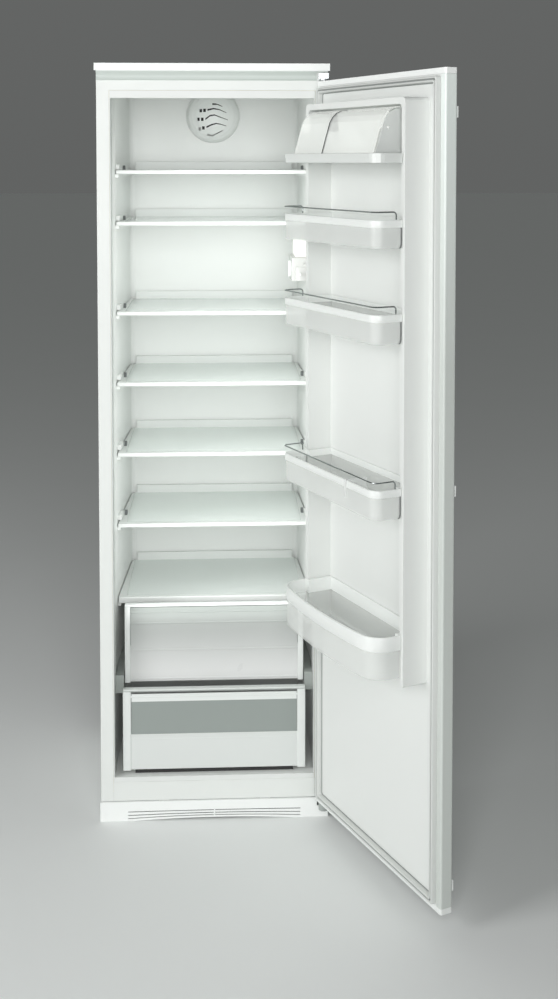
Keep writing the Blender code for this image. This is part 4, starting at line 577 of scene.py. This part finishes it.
# %% Make the end ribs
RIB_FOOT = 0.006
RIB_TOP = 0.016
rib_back = BIN_SHOULDER - 0.0001
rib_front = BIN_SHOULDER + 0.0016
for node, (body, low, top) in BALCONIES.items():
    for side_name, side in SIDES.items():
        a, b = span_at(side, BIN_WIDE - 0.0002, BIN_WIDE - 0.0018)
        plan = [(a, rib_back), (b, rib_back), (b, rib_front), (a, rib_front)]
        # The rib's smoky grey is painted shade along the bin's turned-in end.
        rib = post(f"{node}_rib_{side_name}", plan, low + RIB_FOOT, top - RIB_TOP, DOOR, painted_shade_smoke)
        hang(rib, body, [node])
print("ribs", len(SIDES) * len(BALCONIES))

# %% [markdown]
# ## The magnetic seal
#
# The seal that closes the door is an extruded profile bent round the door: a flat magnet pocket,
# a groove and a softer bulb. It could be swept along a path, but a loft of four-cornered rings
# that differ in inset and height gives the same skin with mitred corners, as welded in reality.
# Two thin dark rings, one in the groove and one along the foot, stand for the shadow lines.

# %% Make the seal
SEAL_PROFILE = (
    (0.0160, 0.0004),
    (0.0160, 0.0080),
    (0.0168, 0.0108),
    (0.0186, 0.0117),
    (0.0202, 0.0110),
    (0.0206, 0.0042),
    (0.0232, 0.0042),
    (0.0236, 0.0112),
    (0.0246, 0.0117),
    (0.0268, 0.0110),
    (0.0280, 0.0085),
    (0.0280, 0.0004),
)
DOOR_HALF = 0.266
DOOR_LOW = 0.0475
DOOR_HIGH = 1.733
SEAL_CORNER = 0.005


def seal_ring(inset, n):
    """Give one ring of the seal: a rounded rectangle on the door's inner face."""
    half = DOOR_HALF - inset
    low = DOOR_LOW + inset
    high = DOOR_HIGH - inset
    corners = ((-half, low), (half, low), (half, high), (-half, high))
    outline = rounded([(u, v, SEAL_CORNER) for u, v in corners], 4)
    return [(u, n, v) for u, v in outline]


def seal_loft(name, profile, finish):
    """Loft a closed profile of (inset, n) points round the door."""
    piece = loft(name, [seal_ring(inset, n) for inset, n in profile], DOOR, finish, closed=True)
    return hang(piece, "door", ["door_gasket"])


seal_loft("door_seal", SEAL_PROFILE, FINISH["gasket_rubber"])
for name, near, far, low_n, high_n in (
    ("door_seal_groove", 0.0207, 0.0231, 0.0044, 0.0088),
    ("door_seal_foot_line", 0.0282, 0.0300, 0.0002, 0.0012),
):
    seal_loft(name, [(near, low_n), (near, high_n), (far, high_n), (far, low_n)], painted_shade_seam)
print("seal rings", len(SEAL_PROFILE))

# %% [markdown]
# ## The two drawers
#
# Each drawer is one clear tub, but its front reads as several parts: thick posts at both ends
# that look white, a bright handle bar along the top, and a panel between them. The upper panel is
# frosted with moulded lines; the lower one has a grey window of painted shade over a frosted
# field. The tub is lofted, and most parts of the front are bars of constant section, pulled across
# its width.


# %% Make the drawers' tubs
TUB_WALL = 0.0022
TUB_CORNER = 0.006
TUB_INNER_CORNER = 0.0045


def hang_on_drawer(obj, which):
    """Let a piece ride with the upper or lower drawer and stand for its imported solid."""
    return hang(obj, f"{which}_drawer_box", [f"{which}_drawer"])


def make_tub(which, half, front, back, low, top):
    """Make a drawer's open tub from rounded outlines, up its outside and down its inside."""
    steps = (
        (0.003, 0.005, low),
        (0.0006, TUB_CORNER, low + 0.0014),
        (0.0, TUB_CORNER, low + 0.004),
        (0.0, TUB_CORNER, top),
        (TUB_WALL, TUB_INNER_CORNER, top),
        (TUB_WALL, TUB_INNER_CORNER, low + 0.006),
        (0.005, 0.003, low + 0.0024),
    )
    rings = []
    for inset, corner, z in steps:
        rings.append(at_height(box_outline(half - inset, front + inset, back - inset, corner), z))
    return hang_on_drawer(loft(f"{which}_drawer_tub", rings, CABINET, frosted), which)


make_tub("upper", half=0.2128, front=0.0535, back=0.400, low=0.309, top=0.470)
make_tub("lower", half=0.2158, front=0.0195, back=0.262, low=0.1107, top=0.284)
print("tubs 2")

# %% [markdown]
# The fronts follow. A moulded line is only a millimetre deep, yet it draws a bright and a dark
# edge across the whole drawer, so the lines are part of the panel's section and not painted on.


# %% Tools for the drawer fronts
def panel_section(front, thickness, low, high, lines=()):
    """Give a panel's section with raised lines (middle height, half height, rise) on its front."""
    face = [(front, low)]
    for middle, half, rise in sorted(lines):
        face += [(front, middle - half - rise), (front - rise, middle - half)]
        face += [(front - rise, middle + half), (front, middle + half + rise)]
    face.append((front, high))
    return face + [(front + thickness, high), (front + thickness, low)]


def front_piece(name, which, section, half, finish):
    """Make one bar of a drawer's front, as wide to the left as to the right."""
    return hang_on_drawer(bar(name, section, -half, half, CABINET, finish), which)


PANEL_FADE = (0.335, 0.485, (0.36, 0.39, 0.37))
upper_panel = make_finish(
    "upper_panel_clear", (0.86, 0.87, 0.86), 0.3, alpha=0.9, grain=300.0, depth=0.00003, fade=PANEL_FADE
)
lower_panel = make_finish(
    "lower_panel_clear", (0.80, 0.83, 0.81), 0.3, alpha=0.92, grain=300.0, depth=0.00003
)
bar_clear = make_finish(
    "clear_handle_bar", (0.70, 0.735, 0.71), 0.22, alpha=0.95, grain=300.0, depth=0.00003
)
post_white = make_finish(
    "thick_clear_post", (0.84, 0.87, 0.85), 0.25, alpha=0.97, grain=300.0, depth=0.00003
)
print("front tools ready")

# %% [markdown]
# The upper panel is one bar with four raised lines. It gets greyer towards its top, where one
# looks through it into the shade of the drawer, and its finish fades upwards in the same way.

# %% Make the upper drawer's panel
UPPER_PANEL_HALF = 0.1995
UPPER_LINES = (
    (0.3180, 0.0016, 0.0010),
    (0.3875, 0.0014, 0.0010),
    (0.4525, 0.0012, 0.0009),
    (0.4790, 0.0012, 0.0009),
)
section = panel_section(front=0.0512, thickness=0.0028, low=0.3125, high=0.491, lines=UPPER_LINES)
front_piece("upper_drawer_panel", "upper", section, UPPER_PANEL_HALF, upper_panel)
print("moulded lines", len(UPPER_LINES))

# %% [markdown]
# The lower front has a grey window between a frosted field and a white band; its grey is painted
# shade, the drawer's shaded inside seen through the clear front. They could be one bar with three
# materials, but three bars meet in clean lines and stay easy to change. A black strip under the
# field is painted shadow: the dark line under the drawer's foot.

# %% Make the lower drawer's panel, window and band
LOWER_PANEL_HALF = 0.1965
PANEL_FRONT = 0.0172
PANEL_THICK = 0.0026
WINDOW_LOW = 0.1980
WINDOW_HIGH = 0.2765
SHADOW_STRIP_HALF = 0.1870
LOWER_LINES = ((0.1955, 0.0018, 0.0010), (0.1860, 0.0005, 0.0004))
BAND_LINES = ((0.2885, 0.0018, 0.0010),)
section = panel_section(front=0.0176, thickness=0.0022, low=WINDOW_LOW, high=WINDOW_HIGH)
# The window's grey is painted shade of the drawer's inside.
front_piece("lower_drawer_window", "lower", section, LOWER_PANEL_HALF, painted_shade_smoke)
section = panel_section(PANEL_FRONT, PANEL_THICK, 0.1135, WINDOW_LOW, LOWER_LINES)
front_piece("lower_drawer_panel", "lower", section, LOWER_PANEL_HALF, lower_panel)
section = panel_section(PANEL_FRONT, PANEL_THICK, WINDOW_HIGH, 0.2945, BAND_LINES)
front_piece("lower_drawer_band", "lower", section, LOWER_PANEL_HALF, post_white)
# Painted shadow: a black strip for the dark gap under the drawer.
section = [(0.0205, 0.1036), (0.0205, 0.1105), (0.0250, 0.1105), (0.0250, 0.1036)]
front_piece("lower_drawer_shadow_strip", "lower", section, SHADOW_STRIP_HALF, black_rubber_and_painted_shade)
print("lower front pieces 4")

# %% [markdown]
# The end posts are upright mouldings, thick enough to look white. A bevel modifier would round
# every edge, and only the upright ones are round here, so the plan is rounded and pulled upwards.

# %% Make the end posts
POST_DEPTH = 0.0075
POST_CORNER = 0.002


def make_posts(which, inner, outer, front, low, high):
    """Make the two thick posts at the ends of a drawer's front."""
    back = front + POST_DEPTH
    for side_name, side in SIDES.items():
        a, b = span_at(side, inner, outer)
        corners = ((a, front), (b, front), (b, back), (a, back))
        plan = rounded([(u, v, POST_CORNER) for u, v in corners], 3)
        end_post = post(f"{which}_drawer_post_{side_name}", plan, low, high, CABINET, post_white)
        hang_on_drawer(end_post, which)


make_posts("upper", inner=0.1995, outer=0.2128, front=0.050, low=0.3095, high=0.4925)
make_posts("lower", inner=0.1965, outer=0.2158, front=0.016, low=0.1112, high=0.3005)
print("posts 4")

# %% [markdown]
# The handle bar is a nose with a lip that turns down behind it, so that fingers can take hold. Its
# section is drawn point by point, because the round nose is the line that catches the light.

# %% Make the handle bars
HANDLE_REACH = 0.014
HANDLE_DROP = 0.012
HANDLE_NOSE = 0.003
HANDLE_SHEET = 0.0022
HANDLE_LIP = 0.002
NOSE_STEPS = 6


def handle_section(front, top):
    """Give the section of a handle bar: a rounded nose, a flat top and a lip that turns down."""
    nose = []
    for step in range(NOSE_STEPS + 1):
        angle = math.pi * step / NOSE_STEPS
        y = front + HANDLE_NOSE - HANDLE_NOSE * math.sin(angle)
        nose.append((y, top - HANDLE_NOSE - HANDLE_NOSE * math.cos(angle)))
    back = front + HANDLE_REACH
    foot = top - HANDLE_DROP
    under = top - HANDLE_SHEET
    lip = [(back, top), (back, foot), (back - HANDLE_LIP, foot), (back - HANDLE_LIP, under)]
    return nose + lip + [(front + HANDLE_NOSE, under)]


section = handle_section(front=0.050, top=0.498)
front_piece("upper_drawer_handle", "upper", section, half=0.2120, finish=post_white)
section = handle_section(front=0.016, top=0.3065)
front_piece("lower_drawer_handle", "lower", section, half=0.2150, finish=bar_clear)
print("handles 2")

# %% [markdown]
# Two mouldings never meet without a gap. A thin dark strip, a millimetre wide, is painted shade for
# the gap between each panel and its posts; a real gap would need both neighbours cut back.

# %% Make the dark seams
# Each seam is painted shade in the gap between a panel and a post.
SEAM_WIDTH = 0.0012
SEAM_DEPTH = 0.001


def make_seams(which, at, front, low, high):
    """Make the dark seams between a drawer's front panel and its end posts."""
    for side_name, side in SIDES.items():
        a, b = span_at(side, at, at - SEAM_WIDTH)
        plan = [(a, front), (b, front), (b, front + SEAM_DEPTH), (a, front + SEAM_DEPTH)]
        seam = post(f"{which}_drawer_seam_{side_name}", plan, low, high, CABINET, painted_shade_seam)
        hang_on_drawer(seam, which)


make_seams("upper", at=0.1994, front=0.0502, low=0.400, high=0.490)
make_seams("lower", at=0.1964, front=0.0168, low=0.205, high=0.300)
print("seams 4")

# %% [markdown]
# ## Behind the grille
#
# Air goes in through the slots of the base grille, and behind them there is only the dark space
# under the cabinet. A black strip of painted shade behind the slots makes them read as openings,
# with far fewer faces than the space behind would need.

# %% Make the dark strip
SHADE_STRIP_FRONT = -0.0046
SHADE_STRIP_BACK = -0.0042
SHADE_STRIP_LOW = 0.0140
SHADE_STRIP_HIGH = 0.0400
SHADE_STRIP_HALF = 0.205
section = [(SHADE_STRIP_FRONT, SHADE_STRIP_LOW), (SHADE_STRIP_FRONT, SHADE_STRIP_HIGH), (SHADE_STRIP_BACK, SHADE_STRIP_HIGH), (SHADE_STRIP_BACK, SHADE_STRIP_LOW)]
# Painted shade: a black strip behind the grille's slots.
strip = bar("grille_painted_shade_strip", section, -SHADE_STRIP_HALF, SHADE_STRIP_HALF, CABINET, black_rubber_and_painted_shade)
hang(strip, "cabinet", [])
print("felt strip")

# %% [markdown]
# ## Painted shade at the shelf guides
#
# A dark wedge near each end of a shelf is painted shade: the dark gap under the white catch at the
# front of the shelf's guide. A box would do from the front, but from the side the mark is a wedge,
# so a section in (y, z) is pulled a few millimetres along x. Each wedge rides with its own shelf.

# %% Make the painted shade wedges at the shelf guides
SHELF_LEVELS = {1: 1.530, 2: 1.4065, 3: 1.190, 4: 1.0185, 5: 0.847, 6: 0.674}
# Dark wedges of painted shade under the catches of the shelf guides.
SHADE_WEDGE_SPAN = (0.2160, 0.2222)
SHADE_WEDGE_SECTION = ((0.199, -0.0010), (0.219, -0.0010), (0.219, 0.0060), (0.212, 0.0105))
for number, level in SHELF_LEVELS.items():
    section = [(y, level + rise) for y, rise in SHADE_WEDGE_SECTION]
    for side_name, side in SIDES.items():
        shade_wedge_name = f"shelf_{number}_keeper_{side_name}"
        painted_shade_wedge = bar(shade_wedge_name, section, *span_at(side, *SHADE_WEDGE_SPAN), CABINET, dark_grey_print_and_shade)
        hang(painted_shade_wedge, f"shelf_{number}", [])
print("keepers", len(SIDES) * len(SHELF_LEVELS))

# %% [markdown]
# ## The dial's marks
#
# The thermostat's dial has a ring of printed strokes. Print could be a painted texture, but a
# stroke a fifth of a millimetre high stays sharp from near by. All the strokes are one mesh of
# small prisms; the same tool makes the condenser's wires below.


# %% A tool for many prisms
def prisms(name, pairs, place, finish, sharp=SHARP_FROM):
    """Make one piece of many prisms, each between two outlines of equal count."""
    points = []
    faces = []
    for near, far in pairs:
        first = len(points)
        count = len(near)
        points += near + far
        for index in range(count):
            turn = (index + 1) % count
            far_edge = (first + count + turn, first + count + index)
            faces.append((first + index, first + turn, *far_edge))
        faces.append(tuple(range(first, first + count))[::-1])
        faces.append(tuple(range(first + count, first + 2 * count)))
    return piece_from(name, points, faces, place, finish, sharp)


print("prism tool ready")

# %% Make the dial's marks
DIAL = Vector((0.226, 1.284))
DIAL_FACE = 0.1925
MARK_SUNK = 0.0003
MARK_PROUD = 0.0002
MARK_COUNT = 9
MARK_PITCH = 35
MARK_START = -140
MARK_INNER = 0.0240
MARK_ENDS = (0.0270, 0.0285)
MARK_HALF = 0.0005


def mark_outline(number):
    """Give the four corners (y, z) of one stroke; every other stroke is longer."""
    angle = math.radians(MARK_START + MARK_PITCH * number)
    along = Vector((math.sin(angle), math.cos(angle)))
    across = Vector((along.y, -along.x)) * MARK_HALF
    inner = DIAL + along * MARK_INNER
    outer = DIAL + along * MARK_ENDS[number % 2]
    return [inner - across, inner + across, outer + across, outer - across]


strokes = []
for number in range(MARK_COUNT):
    outline = mark_outline(number)
    sunk = [(DIAL_FACE + MARK_SUNK, c.x, c.y) for c in outline]
    proud = [(DIAL_FACE - MARK_PROUD, c.x, c.y) for c in outline]
    strokes.append((sunk, proud))
hang(prisms("dial_marks", strokes, CABINET, dark_grey_print_and_shade), "cabinet", [])
print("dial marks", len(strokes))

# %% [markdown]
# ## Dark behind the fan's cover
#
# Through the slots of the fan's cover one looks into an unlit duct. A thin black disc between the
# cover and the impeller gives that depth. It is a loft of circles, as the turned pieces below are.


# %% Tools for round things
def ring_of(radius, x, y, z, count=32):
    """Give a level circle."""
    turns = [math.tau * index / count for index in range(count)]
    return [(x + radius * math.cos(turn), y + radius * math.sin(turn), z) for turn in turns]


def upright(name, x, y, steps, place, finish, count=32):
    """Make a round piece about an upright axis from (radius, height) steps."""
    return loft(name, [ring_of(radius, x, y, z, count) for radius, z in steps], place, finish)


print("round tools ready")

# %% Make the dark disc
FAN_CENTRE = (-0.002, 0.1752, 1.662)
DISC_STEPS = ((0.039, 0.0), (0.040, 0.0003), (0.0385, 0.0006))
disc_place = Matrix.Translation(FAN_CENTRE) @ Matrix.Rotation(math.radians(90), 4, "X")
disc = upright("fan_shadow_disc", 0.0, 0.0, DISC_STEPS, disc_place, black_rubber_and_painted_shade)
hang(disc, "cabinet", [])
print("disc radius", DISC_STEPS[1][0])

# %% [markdown]
# ## The machine space at the back
#
# A wire-on-tube condenser has a long pipe bent to and fro and many thin wires welded across it.
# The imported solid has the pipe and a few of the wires; the rest are added as one mesh of thin
# five-sided rods, which is light enough and looks round from a step away.

# %% Make the fine wires of the condenser
WORLD = Matrix.Identity(4)
WIRES = 34
WIRE_FIELD = 0.375
WIRE_RADIUS = 0.0007
WIRE_SIDES = 5
WIRE_Y = 0.2616
WIRE_LOW = 0.412
WIRE_HIGH = 1.628
WIRE_SHARP = 80.0
rods = []
for wire in range(WIRES):
    x = -WIRE_FIELD / 2 + WIRE_FIELD * wire / (WIRES - 1)
    rods.append([ring_of(WIRE_RADIUS, x, WIRE_Y, z, WIRE_SIDES) for z in (WIRE_LOW, WIRE_HIGH)])
wires = prisms("condenser_fine_wires", rods, WORLD, FINISH["black_enamel"], WIRE_SHARP)
hang(wires, "cabinet", [])
print("wires", len(rods))

# %% [markdown]
# The compressor's shell is two pressed cups welded round the middle, and it stands on rubber feet
# held by bolts. All of these are turned shapes, so each is a list of (radius, height) steps.

# %% Make the compressor's seam, feet and bolts
SEAM_STEPS = ((0.0598, 0.0845), (0.0628, 0.0850), (0.0632, 0.0875), (0.0628, 0.0900), (0.0598, 0.0905))
FOOT_STEPS = (
    (0.0070, 0.0160),
    (0.0078, 0.0180),
    (0.0078, 0.0215),
    (0.0060, 0.0230),
    (0.0078, 0.0245),
    (0.0070, 0.0285),
)
BOLT_STEPS = (
    (0.0042, 0.0284),
    (0.0045, 0.0290),
    (0.0045, 0.0315),
    (0.0036, 0.0325),
    (0.0020, 0.0325),
    (0.0018, 0.0305),
)
COMPRESSOR_AXIS = (-0.100, 0.157)
FOOT_PLACES = [(x, y) for y in (0.112, 0.201) for x in (-0.184, -0.016)]
seam = upright("compressor_seam", *COMPRESSOR_AXIS, SEAM_STEPS, WORLD, FINISH["black_enamel"], count=48)
hang(seam, "cabinet", [])
for number, (x, y) in enumerate(FOOT_PLACES):
    foot = upright(f"compressor_foot_{number}", x, y, FOOT_STEPS, WORLD, black_rubber_and_painted_shade, count=20)
    hang(foot, "cabinet", [])
    bolt = upright(f"compressor_bolt_{number}", x, y, BOLT_STEPS, WORLD, FINISH["zinc_steel"], count=6)
    hang(bolt, "cabinet", [])
print("feet", len(FOOT_PLACES))

# %% [markdown]
# Copper tubes lead the refrigerant to and from the compressor. A tube is bent on a former, so its
# run has straight stretches and round corners. The run is worked out from a few corner points,
# and a curve with a bevel gives it its thickness. The filter drier is a wider turned piece.


# %% Tools for the tubes
def pipe(name, points, radius, finish):
    """Make a round tube along points."""
    curve = bpy.data.curves.new(name, "CURVE")
    curve.dimensions = "3D"
    curve.bevel_depth = radius
    curve.bevel_resolution = 3
    curve.use_fill_caps = True
    spline = curve.splines.new("POLY")
    spline.points.add(len(points) - 1)
    for point, spot in zip(spline.points, points):
        point.co = (*spot, 1.0)
    obj = bpy.data.objects.new(name, curve)
    bpy.context.scene.collection.objects.link(obj)
    curve.materials.append(finish)
    return obj


BEND_RADIUS = 0.014
BEND_STEPS = 6
BEND_SHARE = 0.45


def rounded_run(corners):
    """Round the corners of a run of tube; a bend takes at most its share of each leg."""
    run = [Vector(corners[0])]
    for index in range(1, len(corners) - 1):
        corner = Vector(corners[index])
        into = Vector(corners[index - 1]) - corner
        out = Vector(corners[index + 1]) - corner
        cut = min(BEND_RADIUS, into.length * BEND_SHARE, out.length * BEND_SHARE)
        start = corner + into.normalized() * cut
        end = corner + out.normalized() * cut
        for step in range(BEND_STEPS + 1):
            t = step / BEND_STEPS
            run.append(start * (1 - t) ** 2 + corner * 2 * t * (1 - t) + end * t ** 2)
    run.append(Vector(corners[-1]))
    return run


print("tube tools ready")

# %% Make the copper tubes and the drier
DECK_TOP = 0.2435
DRIER_AXIS = (0.120, 0.196)
TUBES = {
    "suction_tube": (
        0.0040,
        ((-0.152, 0.178, 0.130), (-0.196, 0.196, 0.130), (-0.222, 0.204, 0.142), (-0.222, 0.204, DECK_TOP)),
    ),
    "process_tube": (
        0.0030,
        ((-0.130, 0.108, 0.130), (-0.150, 0.088, 0.130), (-0.172, 0.082, 0.138), (-0.196, 0.082, 0.138)),
    ),
    "capillary_tube": (
        0.0012,
        ((*DRIER_AXIS, 0.060), (*DRIER_AXIS, 0.036), (0.160, 0.196, 0.036), (0.160, 0.196, DECK_TOP)),
    ),
}
for name, (radius, corners) in TUBES.items():
    hang(pipe(name, rounded_run(corners), radius, bare_copper), "cabinet", [])
DRIER_STEPS = (
    (0.0012, 0.058),
    (0.0030, 0.064),
    (0.0085, 0.074),
    (0.0090, 0.078),
    (0.0090, 0.132),
    (0.0085, 0.136),
    (0.0030, 0.146),
    (0.0030, DECK_TOP),
)
drier = upright("filter_drier", *DRIER_AXIS, DRIER_STEPS, WORLD, bare_copper, count=24)
hang(drier, "cabinet", [])
print("tubes", len(TUBES))

# %% [markdown]
# ## Screws
#
# The back panel is held by pan-head screws along its edges. Each head is turned from a few rings
# of points. The last two rings sink into the head and draw its round socket. Nobody can see a
# thread, so there is none.

# %% Make the back panel's screws
SCREW_STEPS = (
    (0.0040, 0.0),
    (0.0042, 0.0006),
    (0.0036, 0.0018),
    (0.0020, 0.0022),
    (0.0017, 0.0020),
    (0.0016, 0.0010),
)
PANEL_BACK = 0.2361
SCREW_COLUMN = 0.252
TO_BACK = Matrix.Rotation(math.radians(-90), 4, "X")
screw_spots = [(x, z) for z in (0.262, 0.640, 1.010, 1.380, 1.752) for x in (-SCREW_COLUMN, SCREW_COLUMN)]
for number, (x, z) in enumerate(screw_spots):
    place = Matrix.Translation((x, PANEL_BACK, z)) @ TO_BACK
    screw_name = f"back_panel_screw_{number}"
    screw = upright(screw_name, 0.0, 0.0, SCREW_STEPS, place, FINISH["zinc_steel"], count=24)
    hang(screw, "cabinet", [])
print("screws", len(screw_spots))

# %% [markdown]
# ## Floor, light and camera
#
# The refrigerator stands on a plain pale floor in a softly lit room. The floor is so wide that
# its far edge melts into the room's own grey, so no wall is needed and the object can be looked
# at from every side. A curved backdrop would hide the back, and its bend would show in the views
# from the side.

# %% Make the floor
FLOOR_HALF = 60.0
FLOOR_CORNERS = ((-1, -1), (1, -1), (1, 1), (-1, 1))
floor_points = [(x * FLOOR_HALF, y * FLOOR_HALF, 0.0) for x, y in FLOOR_CORNERS]
pale_floor = make_finish("pale_floor", (0.86, 0.88, 0.87), 0.7, grain=30.0, drift=0.01)
floor = piece_from("studio_floor", floor_points, [(0, 1, 2, 3)], WORLD, pale_floor)
print("floor half width", FLOOR_HALF)

# %% [markdown]
# The room is a world colour that gets lighter from the horizon to straight overhead. The tone at
# the horizon is chosen to meet the tone of the far floor, so that no line parts them.

# %% Tint the room
HORIZON_TONE = (0.76, 0.785, 0.77)
OVERHEAD_TONE = (1.0, 1.03, 1.01)
ROOM_STRENGTH = 0.16
scene = bpy.context.scene
world = bpy.data.worlds.new("soft_room")
world.use_nodes = True
room = world.node_tree
direction = room.nodes.new("ShaderNodeSeparateXYZ")
room.links.new(room.nodes.new("ShaderNodeTexCoord").outputs["Generated"], direction.inputs["Vector"])
room_tone = span_of(room, direction.outputs["Z"], 0.0, 1.0)
room_colour = blend(room, room_tone, HORIZON_TONE, OVERHEAD_TONE)
room.links.new(room_colour, room.nodes["Background"].inputs["Color"])
room.nodes["Background"].inputs["Strength"].default_value = ROOM_STRENGTH
scene.world = world
scene.view_settings.view_transform = "Standard"
print("room strength", ROOM_STRENGTH)

# %% [markdown]
# A broad front light near the camera reaches deep between the shelves, and a second one from the
# left makes the door's inner side bright while its edge, turned away, stays greyer. In the cavity
# a lamp lights the wall between the second and third shelves, and two soft fills stand for the
# light that goes to and fro between the white walls. The fills make no glints.


# %% Make the lights
def soft_light(name, place, target, width, height, power, glints=True):
    """Add a soft rectangular light that faces a target and isn't seen itself."""
    data = bpy.data.lights.new(name, "AREA")
    data.shape = "RECTANGLE"
    data.size = width
    data.size_y = height
    data.energy = power
    lamp = bpy.data.objects.new(name, data)
    scene.collection.objects.link(lamp)
    lamp.location = place
    lamp.rotation_euler = (Vector(target) - Vector(place)).to_track_quat("-Z", "Y").to_euler()
    lamp.visible_camera = False
    lamp.visible_glossy = glints
    return lamp


def cavity_light(name, place, target, *size_and_power, glints=True):
    """Add a soft light that is placed in the cabinet's frame."""
    return soft_light(name, CABINET @ Vector(place), CABINET @ Vector(target), *size_and_power, glints)


soft_light("front_light", (0.0, -3.7, 1.75), (0.0, -0.1, 0.95), 1.3, 1.5, 54.0)
soft_light("left_light", (-3.2, -2.4, 1.9), (0.2, -0.3, 0.95), 1.6, 2.0, 78.0)
cavity_light("cavity_lamp", (0.175, 0.27, 1.33), (-0.2, 0.40, 1.26), 0.16, 0.05, 0.03)
cavity_light("cavity_fill", (0.0, 0.03, 1.04), (0.0, 0.5, 1.04), 0.40, 1.15, 1.80, glints=False)
cavity_light("upper_fill", (0.0, 0.20, 1.47), (0.0, 0.45, 1.47), 0.36, 0.08, 0.05, glints=False)
print("lights", len(bpy.data.lights))

# %% [markdown]
# The camera stands at eye height, a little over three metres away, and looks slightly down. Its
# lens is shifted so that the appliance sits high in the frame, as in the photograph. Tilting the
# camera further would do that too, but then upright edges would lean together.

# %% Place the camera
EYE = (0.0225, -3.2797, 1.5515)
LOOK_DOWN = 2.988
LOOK_RIGHT = 2.835
LENS = 47.478
SENSOR_WIDTH = 36.0
SHIFT = (-0.0088, -0.27)
camera_data = bpy.data.cameras.new("camera")
camera_data.lens = LENS
camera_data.sensor_width = SENSOR_WIDTH
camera_data.shift_x, camera_data.shift_y = SHIFT
camera = bpy.data.objects.new("camera", camera_data)
scene.collection.objects.link(camera)
camera.location = EYE
camera.rotation_euler = (math.radians(90.0 - LOOK_DOWN), 0.0, math.radians(-LOOK_RIGHT))
scene.camera = camera
print("camera at", tuple(round(v, 3) for v in camera.location))
